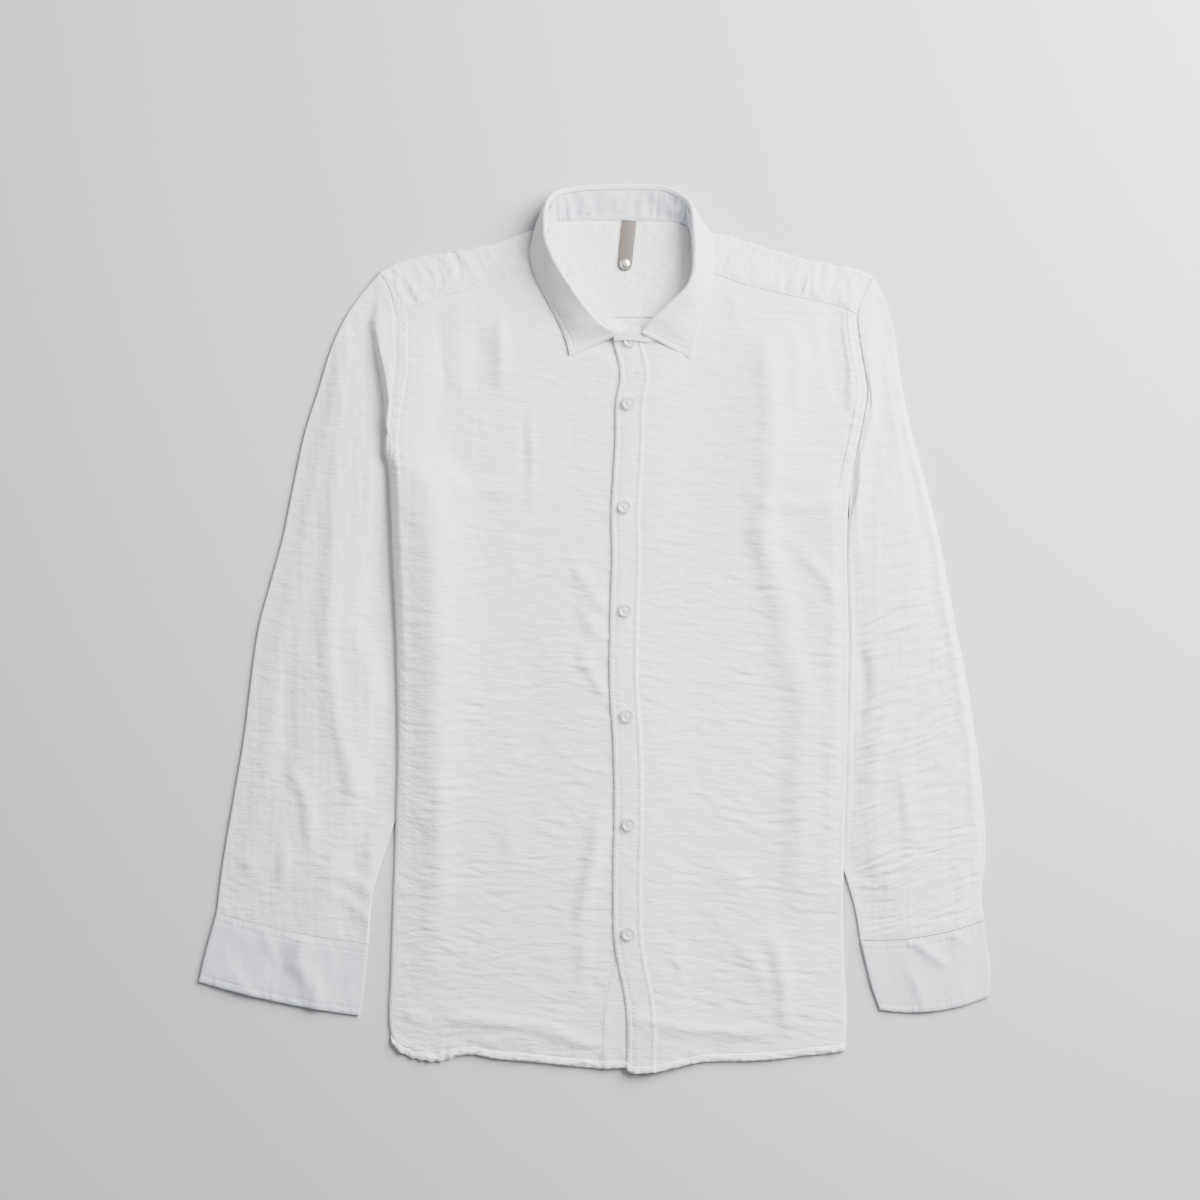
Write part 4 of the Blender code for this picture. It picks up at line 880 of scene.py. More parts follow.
for name, sections, sign, seed in (("right", RIGHT_CUFF, -1, 180), ("left", LEFT_CUFF, 1, 190)):
    x, y, z, reach, rest, _, top = tube_points(sections, CUFF_ROWS, CUFF_EDGE, CUFF_TOP, CUFF_UNDER)
    xt, yt, reach, rest = x[:, top], y[:, top], reach[:, top], rest[:, top]
    inside = np.minimum(step(2, 30, reach), step(19, 45, rest))
    from_sleeve = np.hypot(xt - xt[:1], yt - yt[:1])
    from_end = np.hypot(xt - xt[-1:], yt - yt[-1:])
    soft = step(1, 8, reach) * step(1, 8, rest)
    grooves = bell(from_sleeve - 1.8, 0.8) + bell(from_sleeve - 7.4, 0.8) + bell(from_end - 6.3, 0.8)
    height = CUFF_EDGE + CUFF_PUFF * inside + relief(xt, yt, CUFF_FOLDS) * inside * step(-2, 7, from_sleeve)
    height = np.maximum(height, CUFF_EDGE)
    height = height + (0.6 * noise(xt / 22, yt / 30, seed) + 0.28 * noise(xt / 7, yt / 18, seed + 1)) * soft
    height = height - 0.6 * grooves + 0.6 * pucker(xt, from_end - 4, 5, seed + 2, 3.6) * soft
    height = height + 0.6 * pucker(xt, from_sleeve - 4, 5, seed + 3, 3.6) * soft
    height = height - 0.8 * bell(from_end, 0.9) - 0.6 * bell(from_sleeve, 0.7)
    z[:, top] = height
    points = xyz(x, y, z)
    if sign < 0:
        points = points[:, ::-1]
    cuff_grids[name] = points
    cuff = sheet(f"cuff_{name}_cloth", points, bluer_poplin_and_painted_shade, wall=0.9, ring=True)
    dress(cuff, f"cuff_{name}")

# %% [markdown]
# ## Fronts
# Each front hangs from the yoke and runs from its free edge to the fold at the body's side,
# where it rolls down over the back. Columns crowd where something is sewn: along the armhole,
# whose seam allowance is stitched down as a band, and along the side fold. The hem is turned up
# and stitched: a puffy tube with a wavy edge, and the cloth puckers above it.

# %% Fronts
RIGHT_FRONT = {
    "side": right_side, "edge": lambda y: band_stitch(y) + BAND_WIDTH, "hem": right_hem, "neck": RIGHT_NECK,
    "seam": yoke_seam_right, "top": 284.0, "armhole_end": (162, 140), "sign": -1, "side_pitch": 1.9,
    "width": 214.0,
}
LEFT_FRONT = {
    "side": left_side, "edge": placket_edge, "hem": left_hem, "neck": LEFT_NECK,
    "seam": yoke_seam_left, "top": 282.6, "armhole_end": (148, 124), "sign": 1, "side_pitch": 3.6,
    "width": 212.0,
}
UNDER_YOKE = 4.0          # the fronts run on this far under the yoke's edge
ROWS_PART = 243.0         # the y up to which every column has the same rows
FRONT_ROWS, ROLL_COLUMNS = 500, 8
ROLL_LENGTH = SIDE_ROLL * math.pi / 2


def rows_from_hem(count):
    """Shares of a length of about 630 mm for count rows, crowded over the lowest 8 mm, the hem."""
    return np.concatenate([np.linspace(0, 0.0135, 15)[:-1], np.linspace(0.0135, 1, count - 14)])


def scallops(x):
    """0 to 1 and back over each of the hem's small bulges between two stitches' pulls."""
    return 0.5 + 0.5 * np.sin(x / 1.4 + 1.5 * noise(x / 13, 0 * x, 610))


def hem_roll(y, z, x, above, seed):
    """The y and z of a hem: a puffy, puckered tube as deep as the hem, whose very edge lies low."""
    strong = mix(0.35, 1.0, step(-118, -140, x))
    bulge = scallops(x)
    round_tube = np.sqrt(np.maximum(np.sin(math.pi * np.clip(above / HEM_DEEP, 0, 1)), 0))
    z = z - 0.5 * step(10, 1, above) + (1.8 + 0.5 * noise(x / 9, 0 * x, seed + 3)) * round_tube
    z = z - 0.9 * strong * (1 - bulge) * round_tube
    z = z + mix(0.9, 1.7, strong) * 0.6 * noise(x / 7, above / 26, seed) * bell(above - 7, 9)
    z = z - 0.15 * bell(above - HEM_DEEP - 0.4, 1.1)
    z = mix(z, np.minimum(z, 1.8), step(1.3, 0, above))
    return y + 1.5 * strong * (0.5 - bulge) * step(7, 0, above), z


def side_turn(front, y):
    """Angle of the roll down the side: a quarter turn, and next to none along the armhole."""
    return np.maximum(step(*front["armhole_end"], y), 0.01) * math.pi / 2


def front_outline(front):
    """Places of a front's points seen from above, as far as the start of its side fold."""
    width = front["width"]
    spots = np.concatenate([
        np.arange(0, 32, 3.2), np.arange(32, width - 76, 3.6),
        np.arange(width - 76, width - 16, front["side_pitch"]), np.arange(width - 16, width, 1.3),
    ])
    share = np.unique(np.round(np.concatenate([spots / width, front["neck"]["share"], [1.0]]), 4))
    top = np.full(share.shape, front["top"])
    for _ in range(4):
        top = front["seam"](mix(front["edge"](top), front["side"](top), share)) + UNDER_YOKE
    top = np.where(share <= front["neck"]["share"][-1], along(front["neck"], "share", "y")(share), top)
    bottom = front["hem"](mix(front["edge"](-380.0), front["side"](-370.0), share))
    low_rows = int(0.9 * FRONT_ROWS)
    low = mix(bottom, ROWS_PART, rows_from_hem(low_rows)[:, None])
    y = np.concatenate([low, mix(ROWS_PART, top, np.linspace(0, 1, FRONT_ROWS - low_rows + 1)[1:, None])])
    turn = side_turn(front, y)
    x = mix(front["edge"](y), front["side"](y) - front["sign"] * ROLL_LENGTH * np.sin(turn) / turn, share)
    return x, y


def front_points(front, rise, seed):
    """A front's points in mm, raised by rise(x, y), and where its cloth is doubled."""
    x, y = front_outline(front)
    side_y = y[:, -1:]
    turn = side_turn(front, side_y)
    share = np.linspace(0, 1, ROLL_COLUMNS + 1)[1:]
    to_side = ROLL_LENGTH * (np.sin(turn) - np.sin(turn * share)) / turn
    roll_x = front["side"](side_y) - front["sign"] * to_side
    down = np.hstack([np.zeros_like(x), ROLL_LENGTH * (1 - np.cos(turn * share)) / turn])
    x = np.hstack([x, roll_x])
    y = np.hstack([y, np.repeat(side_y, ROLL_COLUMNS, axis=1)])
    z = front_top(x, y) + rise(x, y) - down

    inside = np.abs(front["side"](y) - x)
    above = y - front["hem"](x)
    from_edge = np.abs(x - front["edge"](y))
    open_cloth = step(1, 9, inside) * step(PLACKET_WIDTH - 3, PLACKET_WIDTH + 3, from_edge)
    strength = mix(1.9, 3.2, step(200, -60, y)) * open_cloth
    slope = 0.13 * step(120, -40, y) * step(20, 120, x)
    z = z + crinkles(x, y + slope * (x - 60), seed) * strength
    z = z + 0.26 * noise(x / 4.5, y / 34, seed + 9) * mix(0.35, 1.0, step(20, 200, y)) * open_cloth

    hem = step(HEM_DEEP + 0.6, HEM_DEEP - 0.8, above)
    y, z = hem_roll(y, z, x, above, seed + 10)
    bound = step(front["armhole_end"][0] - 30, front["armhole_end"][0] - 8, y)
    band = bound * step(ARMHOLE_BAND + 0.7, ARMHOLE_BAND - 0.7, inside)
    z = z + 0.6 * band - 0.5 * bound * bell(inside - ARMHOLE_BAND - 0.3, 1.0)
    z = z + 0.5 * bound * pucker(y + 0.4 * x, inside - ARMHOLE_BAND, 8, seed + 11, 6.5)
    under_yoke = bell(y - y[-1:], 3.0) * step(0.3, 0.34, from_edge / front["width"])
    return xyz(x, y, z - 0.35 * under_yoke), np.maximum(hem, band)


front_grids = {}
for name, front, rise, seed in (
    ("right", RIGHT_FRONT, underlap_rise, 200),
    ("left", LEFT_FRONT, overlap_rise, 240),
):
    points, layers = front_points(front, rise, seed)
    if front["sign"] < 0:
        points, layers = points[:, ::-1], layers[:, ::-1]
    front_grids[name] = points
    front_cloth = sheet(f"front_{name}_cloth", points, linen, layers=layers)
    dress(front_cloth, f"front_{name}")

# %% [markdown]
# ## Placket and button band
# The placket is a folded strip, stitched down along both sides. Between the two rows of
# stitches it is nearly flat, and outside them the folded allowance makes a soft round ridge. Its
# profile is a curve over the distance from its edge, and the same strip, thinner, is the button
# band, of which only the lowest part shows.


# %% Strips along the free edges
STRIP_COLUMNS = 26


def strip_points(left_x, width, bottom, top, under, profile, seed, rows):
    """A strip of cloth on a front: under(x, y) is the face that it lies on, top(away) its upper end."""
    away = np.linspace(0, width, STRIP_COLUMNS)[None, :]
    share = rows_from_hem(rows)[:, None]
    y = mix(bottom(left_x(-390.0) + away), top(away), share)
    x = left_x(y) + away
    z = under(x, y) + profile(away)
    flat_part = step(3, 6, away) * step(3, 6, width - away)
    z = z + (1.1 * crinkles(x, y, seed, run=16, pitch=8) + 0.3 * noise(x / 12, y / 16, seed + 8)) * flat_part
    z = z + 0.4 * pucker(y, away - 3.6, 4, seed + 9) + 0.4 * pucker(y, width - away - 3.6, 4, seed + 10)
    z = z - 0.4 * (bell(away - 3.8, 0.7) + bell(width - away - 3.8, 0.7))
    y, z = hem_roll(y, z, x, y - bottom(x), seed + 11)
    return xyz(x, y, z)


def placket_profile(away):
    ridge = step(4.8, 3.2, away) + step(4.8, 3.2, PLACKET_WIDTH - away)
    ends = step(1.4, 0, away) + step(1.4, 0, PLACKET_WIDTH - away)
    return 0.95 + 0.8 * ridge - 0.95 * ends


def band_profile(away):
    """Flush with the front at its stitched edge, so that only its stitches show there."""
    return 0.95 * step(0, 6, away) - 0.15 - 0.5 * step(1.4, 0, BAND_WIDTH - away)


RIGHT_WIDTH_AT_NECK = 221.0
PLACKET_OVER = 0.4        # the placket passes its front's edge by this much
right_neck = along(RIGHT_NECK, "share", "y")
left_neck = along(LEFT_NECK, "share", "y")
placket_points = strip_points(
    lambda y: placket_edge(y) - PLACKET_OVER, PLACKET_WIDTH + PLACKET_OVER, left_hem,
    lambda away: left_neck(away / LEFT_FRONT["width"]),
    lambda x, y: front_top(x, y) + overlap_rise(x, y), placket_profile, 300, rows=480,
)
placket = sheet("placket_cloth", placket_points, linen, wall=0.7, layers=0.3)
dress(placket, "placket")
band_points = strip_points(
    band_stitch, BAND_WIDTH, right_hem, lambda away: right_neck((BAND_WIDTH - away) / RIGHT_WIDTH_AT_NECK),
    lambda x, y: front_top(x, y) + underlap_rise(x, y), band_profile, 330, rows=300,
)
band = sheet("button_band_cloth", band_points, linen, wall=0.7, layers=0.1)
dress(band, "button_band")

# %% [markdown]
# ## Yoke
# The yoke is one piece over both shoulders. In front it is a strip between the shoulder fold
# and the front seam, then it rolls over the fold and lies flat behind, where its inner face
# shows inside the neck. Its crinkles run the other way round, from the fold to the seam.

# %% The yoke's path over the shoulders
STRIP_ROWS, ROLL_ROWS, LYING_ROWS = 26, 9, 56
FOLD_ROWS = STRIP_ROWS + ROLL_ROWS
YOKE_RIGHT, YOKE_NECK, YOKE_LEFT = 57, 43, 61    # columns on each side and over the neck


def yoke_points():
    """Rows run from the front seam over the fold to the back seam; the neck is the middle part."""
    right, left = np.linspace(0, 1, YOKE_RIGHT), np.linspace(0, 1, YOKE_LEFT)
    middle = np.linspace(0, 1, YOKE_NECK + 2)[1:-1]
    seam_x = np.concatenate([mix(-179.8, -26, right), mix(-38.5, 86.5, middle), mix(87, 236, left)])
    fold_x = np.concatenate([mix(-193.5, -38.5, right), mix(-38.5, 86.5, middle), mix(86.5, 249, left)])
    back_x = np.concatenate([mix(-179.6, -38.5, right), mix(-38.5, 86.5, middle), mix(86.5, 236.4, left)])
    neck = np.repeat([False, True, False], [YOKE_RIGHT, YOKE_NECK, YOKE_LEFT])
    on_right = np.arange(len(neck)) < YOKE_RIGHT
    radius = SHOULDER_FOLD / 2
    round_neck = neck_back(fold_x) + radius
    seam_y = np.where(neck, round_neck, np.where(on_right, yoke_seam_right(seam_x), yoke_seam_left(seam_x)))
    fold_y = np.where(neck, round_neck, np.where(on_right, shoulder_right(fold_x), shoulder_left(fold_x)))
    seam_z = front_top(seam_x, seam_y - 2) + 0.75

    up = np.linspace(0, 1, STRIP_ROWS)[:, None]
    x = mix(seam_x, fold_x, up)
    strip = xyz(x, mix(seam_y, fold_y - radius, up), mix(seam_z, SHOULDER_FOLD, step(0, 1, up)))
    angle = math.pi * np.arange(1, ROLL_ROWS + 1)[:, None] / ROLL_ROWS
    over = xyz(fold_x[None, :], fold_y - radius + radius * np.sin(angle), radius * (1 + np.cos(angle)))
    down = np.linspace(0, 1, LYING_ROWS + 1)[1:, None]
    x = mix(fold_x, back_x, down)
    lying = xyz(x, mix(fold_y - radius, BACK_SEAM_Y + 0.2, down), 0)
    points = np.concatenate([strip, over, lying])
    # The outer ends follow the armholes, and the nearest columns go with them
    near = np.linspace(1, 0, 10)
    at_right = right_side(points[:, 0, 1]) + SEAM - points[:, 0, 0]
    at_left = left_side(points[:, -1, 1]) - SEAM - points[:, -1, 0]
    points[:, :len(near), 0] += at_right[:, None] * near
    points[:, -len(near):, 0] += at_left[:, None] * near[::-1]
    return points, neck


# %% Yoke
yoke_base, neck_columns = yoke_points()
x, y = yoke_base[..., 0], yoke_base[..., 1]
in_front = np.arange(len(yoke_base))[:, None] < FOLD_ROWS
from_seam = np.where(in_front, np.linalg.norm(yoke_base - yoke_base[:1], axis=-1), 99.0)
side_gap = np.minimum(x - right_side(y), left_side(y) - x)
armhole_band = step(ARMHOLE_BAND + 0.7, ARMHOLE_BAND - 0.7, side_gap)
lean = np.where(x < 20, -0.55, 0.3)
streaks = crinkles(y + 200, x - lean * (y - 300), 360, run=36, pitch=6.0)
front_relief = np.clip(6.4 * streaks, -0.8, 1.7) * step(2, 12, side_gap) * step(0, 5, from_seam)
front_relief = front_relief + 0.4 * armhole_band - 0.35 * bell(side_gap - ARMHOLE_BAND - 0.3, 0.8)
front_relief = front_relief - 0.3 * bell(from_seam - 2.6, 0.8)
# Behind, the outer face lies on the table, so the crinkles only push it up
back_relief = -4.5 * np.abs(streaks) * step(2, 14, side_gap) - 0.35 * bell(y - BACK_SEAM_Y, 2.2)
yoke_grid = raised(yoke_base, np.where(in_front, front_relief, back_relief))
yoke_grid[..., 2] = np.maximum(yoke_grid[..., 2], 0.0)
neck_faces = neck_columns[:-1] | neck_columns[1:]
hole = neck_faces[None, :] & (np.arange(len(yoke_grid) - 1)[:, None] < FOLD_ROWS - 1)
yoke = sheet("yoke_cloth", yoke_grid, linen, layers=armhole_band * in_front, hole=hole, turned_cut=True)
dress(yoke, "yoke")

# %% [markdown]
# ## Collar and stand
# A shirt collar is two pieces: the stand goes round the neck, and the collar proper is sewn to
# its upper edge, rolls over and falls down outside it. Sections round the neck give the neck
# seam, the roll and the outer edge. At each one the cloth goes straight up from the stand,
# round a small arc and straight down to the edge, with a little fullness, because it is
# interlined and springs off the shirt.

# %% Sections round the neck
COLLAR_SEAM = 4.0         # from the roll down to the seam between collar and stand
COLLAR = table(
    "neck_x neck_y neck_z roll_x roll_y roll_z edge_x edge_y edge_z tight",
    (33.2, 268.2, 6.3, 20.6, 263.0, 11.5, -22.4, 245.2, 6.8, 1.6),
    (15.3, 278.1, 6.1, 5.4, 271.4, 17, -26, 258.9, 6.4, 1.8),
    (-0.9, 285.7, 5.1, -6.2, 285.1, 22.5, -33.2, 275.1, 6, 2),
    (-14.4, 299.6, 4.8, -17.7, 301.5, 27, -41.3, 290.4, 5.8, 2.2),
    (-25.1, 317.6, 4.9, -28.4, 318.8, 31, -49.4, 306.6, 5.8, 2.4),
    (-31.4, 334.6, 5.0, -37.2, 334.4, 34, -55.6, 321.8, 5.8, 2.4),
    (-35.0, 348.8, 5.2, -42.5, 349.5, 34, -58.3, 336.2, 5.8, 2.4),
    (-36.6, 359.7, 4.9, -43.5, 363.2, 31, -56.5, 348.8, 5.8, 2.2),
    (-35.6, 364.9, 3.2, -42.7, 375.5, 26, -53.0, 360.4, 5.5, 1.9),
    (-33.3, 367.4, 2.3, -39.2, 385.3, 20, -44.9, 368.6, 2.5, 1.5),
    (-26.1, 368.2, 2.1, -31.3, 392.5, 14, -35.1, 371.4, 1.2, 1.2),
    (-9.0, 368.6, 2.1, -13.4, 396.3, 11, -13.5, 372.4, 0.9, 1.1),
    (22.5, 368.8, 2.1, 22.4, 398.2, 10, 22.5, 372.6, 0.9, 1.1),
    (51.3, 368.2, 2.1, 53.8, 397.4, 11, 54.0, 372.2, 0.9, 1.1),
    (63.8, 367.4, 2.1, 68.9, 393.4, 14, 71.1, 371.2, 1.2, 1.2),
    (74.0, 366.4, 2.4, 79.5, 386.2, 18, 83.6, 368.6, 2.5, 1.5),
    (82.5, 364.6, 3.4, 84.6, 378.2, 21, 94.3, 365.1, 5.5, 1.9),
    (85.5, 358.8, 4.9, 86.2, 366.8, 23.5, 102.3, 356.9, 5.8, 2.2),
    (87.0, 348.4, 5.2, 86.8, 352.2, 25, 106.4, 343.4, 5.8, 2.4),
    (87.8, 334.8, 5.0, 87.2, 336.2, 25, 106.8, 329.0, 5.8, 2.4),
    (88.2, 322.0, 4.9, 86.6, 320.3, 25, 106.4, 314.7, 5.8, 2.4),
    (87.6, 309.5, 4.9, 81.8, 306.5, 24, 104.1, 300.3, 5.8, 2),
    (85.6, 295.1, 5.0, 73.0, 297.2, 22, 99.6, 285.0, 6, 1.6),
    (79.2, 280.2, 5.2, 59.8, 285.3, 18.5, 94.2, 269.7, 6.2, 1.3),
    (66.0, 264.6, 7.6, 48.3, 273.3, 14.8, 89.7, 256.1, 6.6, 1.2),
    (49.3, 258.6, 10.0, 41.2, 263.8, 12.8, 85.2, 243.4, 7, 1.1),
)
# Past the collar's left point the stand runs on alone, across the placket's top; the last
# column is how far below the roll its upper edge ends
STAND_END = table(
    "neck_x neck_y neck_z roll_x roll_y roll_z below",
    (37.4, 259.8, 12.0, 39.6, 273.0, 13.2, 2.0),
    (27.4, 260.2, 12.1, 28.2, 267.6, 13.5, 0.6),
    (17.2, 259.6, 12.1, 17.4, 262.2, 12.9, 0.0),
)


def neck_lines(rows, number, *parts):
    """The named lines round the neck (neck, roll or edge) at the numbered sections."""
    section = by_row(rows)
    return [np.stack([section[f"{part}_{axis}"](number) for axis in "xyz"], axis=-1) for part in parts]


def unit(vectors):
    return vectors / np.linalg.norm(vectors, axis=-1, keepdims=True)


def dot(a, b):
    return (a * b).sum(axis=-1, keepdims=True)


# %% Collar
COLLAR_COLUMNS, ARC_ROWS, FALL_ROWS, RIM_ROWS = 240, 10, 30, 13
TOPSTITCH = 4.6           # the collar's stitches run this far from its edge
last_section = len(COLLAR["tight"]) - 1
end_part = np.linspace(0, 0.6, 15)
middle_part = np.linspace(0.6, last_section - 0.6, COLLAR_COLUMNS - 2 * (len(end_part) - 1))
number = np.concatenate([end_part[:-1], middle_part, last_section - end_part[-2::-1]])
neck, top, edge = neck_lines(COLLAR, number, "neck", "roll", "edge")
radius = by_row(COLLAR)["tight"](number)[:, None]
up = unit(top - neck)
outward = unit(edge - top - dot(edge - top, up) * up)
centre = top - up * radius + outward * radius
to_edge = edge - centre
reach = np.hypot(dot(to_edge, outward), dot(to_edge, up))
arc = np.arctan2(-dot(to_edge, up), dot(to_edge, outward)) + np.arccos(np.maximum(-radius / reach, -1.0))
path = [mix(top - up * COLLAR_SEAM, top - up * radius, share) for share in (0, 0.34, 0.67)]
for i in range(ARC_ROWS + 1):
    angle = arc * i / ARC_ROWS
    path.append(centre - outward * radius * np.cos(angle) + up * radius * np.sin(angle))
leave = path[-1]
fall_length = np.linalg.norm(edge - leave, axis=-1)
# The last rows crowd near the outer edge, where the topstitching presses its groove
rim = np.minimum(9.0, 0.5 * fall_length) / fall_length
wide_rows = FALL_ROWS - RIM_ROWS
falls = [(1 - rim) * (i + 1) / wide_rows for i in range(wide_rows)]
falls += [1 - rim * (1 - (i + 1) / RIM_ROWS) for i in range(RIM_ROWS)]
path += [mix(leave, edge, share[:, None]) for share in falls]
collar_base = np.stack(path)
fall = np.concatenate([np.zeros((len(path) - FALL_ROWS, COLLAR_COLUMNS)), np.stack(falls)])
run = running_length(collar_base[-FALL_ROWS:], 1)[None, :]
fall_length = fall_length[None, :]
from_edge = np.where(fall > 0, (1 - fall) * fall_length, 99.0)
ends = np.minimum(run, run[:, -1:] - run)
fullness = mix(-2.4, 1.2, step(0, 26, ends)) * np.sin(math.pi * fall) * step(2, 30, fall_length)
soft = 0.6 * noise(run / 30, fall * 1.6, 500) * step(0, 0.3, fall)
from_rim = np.minimum(from_edge, ends + 0 * from_edge)
groove = -0.4 * bell(from_rim - TOPSTITCH, 0.8) + 0.3 * bell(from_rim - 2, 1.8)
ripple = 0.25 * pucker(run, from_edge - TOPSTITCH, 5, 501, 4.5) * step(0, 3, ends)
on_roll = np.sin(math.pi * np.linspace(0, 1, len(path))[:, None])
wrinkles = 0.5 * noise(run / 6, np.linspace(0, 3, len(path))[:, None], 502) * on_roll
collar_grid = raised(collar_base, fullness + soft + groove + ripple + wrinkles)
collar = sheet("collar_cloth", collar_grid, poplin, wall=0.9, offset=0.0)
dress(collar, "collar")

# %% Stand
END_COLUMNS, HEIGHT_ROWS = 30, 16
stand_rows = {name: np.concatenate([COLLAR[name], STAND_END[name]]) for name in COLLAR if name in STAND_END}
stand_rows["below"] = np.concatenate([np.full(last_section + 1, COLLAR_SEAM + 2 * SEAM), STAND_END["below"]])
stand_end = np.linspace(last_section, len(stand_rows["below"]) - 1, END_COLUMNS + 1)
number = np.concatenate([number, stand_end[1:]])
neck, top = neck_lines(stand_rows, number, "neck", "roll")
upper = top - unit(top - neck) * by_row(stand_rows)["below"](number)[:, None]
# The lower edge runs on into the neck seam
neck = neck - unit(top - neck) * 1.6 - np.array([0.0, 0.0, 0.5])
height = np.linspace(0, 1, HEIGHT_ROWS)[:, None]
stand_base = mix(neck[None], upper[None], height[..., None])
run = running_length(stand_base, 1)[None, :]
streak = 2.2 * noise(run / 3.6, height * 1.2, 510) + 1.2 * noise(run / 13, height * 2, 511)
from_neck = height * np.linalg.norm(upper - neck, axis=-1)[None, :]
seam_ridge = 0.5 * bell(from_neck - 3.2, 1.3) - 0.3 * bell(from_neck - 5.4, 0.9)
clear_of_ends = step(last_section - 1.0, last_section - 3.5, number) * step(0.5, 3, number)
streak = streak * step(0, 5, from_neck) * clear_of_ends
stand_grid = raised(stand_base, streak + seam_ridge * step(last_section, last_section - 1.5, number))
# The stand's darker, bluer poplin is painted shade on the collar's own cloth
stand = sheet("collar_stand_cloth", stand_grid, bluer_poplin_and_painted_shade, wall=0.9, offset=0.0)
# The stand's end that shows over the button is of the body's warm white gauze
stand.data.materials.append(linen)
for face in stand.data.polygons:
    if face.center.x > 12 * MM and face.center.y < 277 * MM:
        face.material_index = 1
dress(stand, "collar_stand")

# %% [markdown]
# ## Stitches
# At this distance a seam reads as a row of tiny dashes in a shallow groove. One stitch is
# modelled by hand, a squashed sphere with few faces, because it is repeated some two thousand
# times. Each seam's stitches are copies laid along a line on its sheet, sunk by half.

# %% One stitch
bpy.ops.object.select_all(action="DESELECT")
bpy.ops.mesh.primitive_uv_sphere_add(segments=6, ring_count=4, radius=MM, location=(0, 0, 0))
stitch = bpy.context.object
bpy.ops.object.mode_set(mode="EDIT")
bpy.ops.mesh.select_all(action="SELECT")
bpy.ops.transform.rotate(value=math.pi / 2, orient_axis="Y", center_override=(0, 0, 0))
bpy.ops.transform.resize(value=(1.15, 0.36, 0.3), center_override=(0, 0, 0))
bpy.ops.object.mode_set(mode="OBJECT")
stitch_verts = np.array([v.co for v in stitch.data.vertices]) / MM
stitch_faces = [list(p.vertices) for p in stitch.data.polygons]
bpy.data.objects.remove(stitch)
print("one stitch is", np.round(np.ptp(stitch_verts, axis=0), 2), "mm")


# %% Lines of stitches
def column_where(values, target):
    """For each row, the fractional column at which rising values reach the target."""
    index = np.arange(values.shape[1])
    return np.array([np.interp(target, row, index) for row in values])


def on_sheet(points, rows, columns):
    """Places and normals along a line of fractional rows and columns of a sheet."""
    rows, columns = np.broadcast_arrays(np.asarray(rows, float), np.asarray(columns, float))
    row = np.clip(rows.astype(int), 0, points.shape[0] - 2)
    column = np.clip(columns.astype(int), 0, points.shape[1] - 2)
    down, over = (rows - row)[:, None], (columns - column)[:, None]
    found = []
    for values in (points, normals_of(points)):
        low = mix(values[row, column], values[row, column + 1], over)
        high = mix(values[row + 1, column], values[row + 1, column + 1], over)
        found.append(mix(low, high, down))
    return found


def sew(name, lines, pitch=3.0, lift=0.1):
    """Lays copies of the stitch along lines of places and normals, as one piece."""
    blocks = []
    for places, normals in lines:
        length = np.concatenate([[0.0], np.cumsum(np.linalg.norm(np.diff(places, axis=0), axis=-1))])
        spots = np.arange(pitch / 2, length[-1], pitch)
        at, out = (np.stack([np.interp(spots, length, values[:, k]) for k in range(3)], axis=-1)
                   for values in (places, normals))
        ahead = np.stack([np.interp(spots + 0.5, length, places[:, k]) for k in range(3)], axis=-1)
        behind = np.stack([np.interp(spots - 0.5, length, places[:, k]) for k in range(3)], axis=-1)
        tangent = unit(ahead - behind)
        side = unit(np.cross(out, tangent))
        turn = np.stack([tangent, side, np.cross(tangent, side)], axis=1)
        blocks.append(np.einsum("vk,nkj->nvj", stitch_verts, turn) + (at + lift * unit(out))[:, None])
    verts = np.concatenate(blocks)
    faces = [[n * verts.shape[1] + v for v in face] for n in range(len(verts)) for face in stitch_faces]
    mesh = bpy.data.meshes.new(name)
    mesh.from_pydata(verts.reshape(-1, 3) * MM, [], faces)
    mesh.materials.append(thread)
    mesh.shade_smooth()
    piece = bpy.data.objects.new(name, mesh)
    bpy.context.scene.collection.objects.link(piece)
    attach(piece, "root")
    print(name, len(verts), "stitches")


# %% Placket, button band and hem
lines = []
for away in (3.6, PLACKET_WIDTH - 3.2):
    column = away / (PLACKET_WIDTH + PLACKET_OVER) * (STRIP_COLUMNS - 1)
    lines.append(on_sheet(placket_points, np.arange(len(placket_points)), column))
lines.append(on_sheet(band_points, np.arange(len(band_points)), 2.6 / BAND_WIDTH * (STRIP_COLUMNS - 1)))
sew("placket_stitches", lines)
lines = []
for grid, hem in (
    (front_grids["right"][:, ROLL_COLUMNS:], right_hem), (front_grids["left"][:, :-ROLL_COLUMNS], left_hem),
    (placket_points, left_hem), (band_points, right_hem),
):
    above = grid[..., 1] - hem(grid[..., 0])
    lines.append(on_sheet(grid, column_where(above.T, HEM_DEEP - 0.9), np.arange(grid.shape[1])))
sew("hem_stitches", lines)

# %% Armholes and yoke
ARMHOLE_STITCHES = (1.6, ARMHOLE_BAND - 1.0)
lines = []
for name, side, end in (("right", right_side, 150), ("left", left_side, 134)):
    grid = front_grids[name]
    grid = grid[grid[:, :, 1].min(axis=1) > end]
    gap = np.abs(side(grid[..., 1]) - grid[..., 0])
    for inside in ARMHOLE_STITCHES:
        if name == "left":
            columns = column_where(-gap[:, :-ROLL_COLUMNS], -inside)
        else:
            columns = column_where(gap[:, ROLL_COLUMNS:], inside) + ROLL_COLUMNS
        lines.append(on_sheet(grid, np.arange(len(grid)), columns))
strip = yoke_grid[:STRIP_ROWS]
gap = side_gap[:STRIP_ROWS]
middle = yoke_grid.shape[1] // 2
for inside in ARMHOLE_STITCHES:
    lines.append(on_sheet(strip, np.arange(STRIP_ROWS), column_where(gap[:, :middle], inside)))
    lines.append(on_sheet(strip, np.arange(STRIP_ROWS), column_where(-gap[:, middle:], -inside) + middle))
sew("armhole_stitches", lines)
lines = []
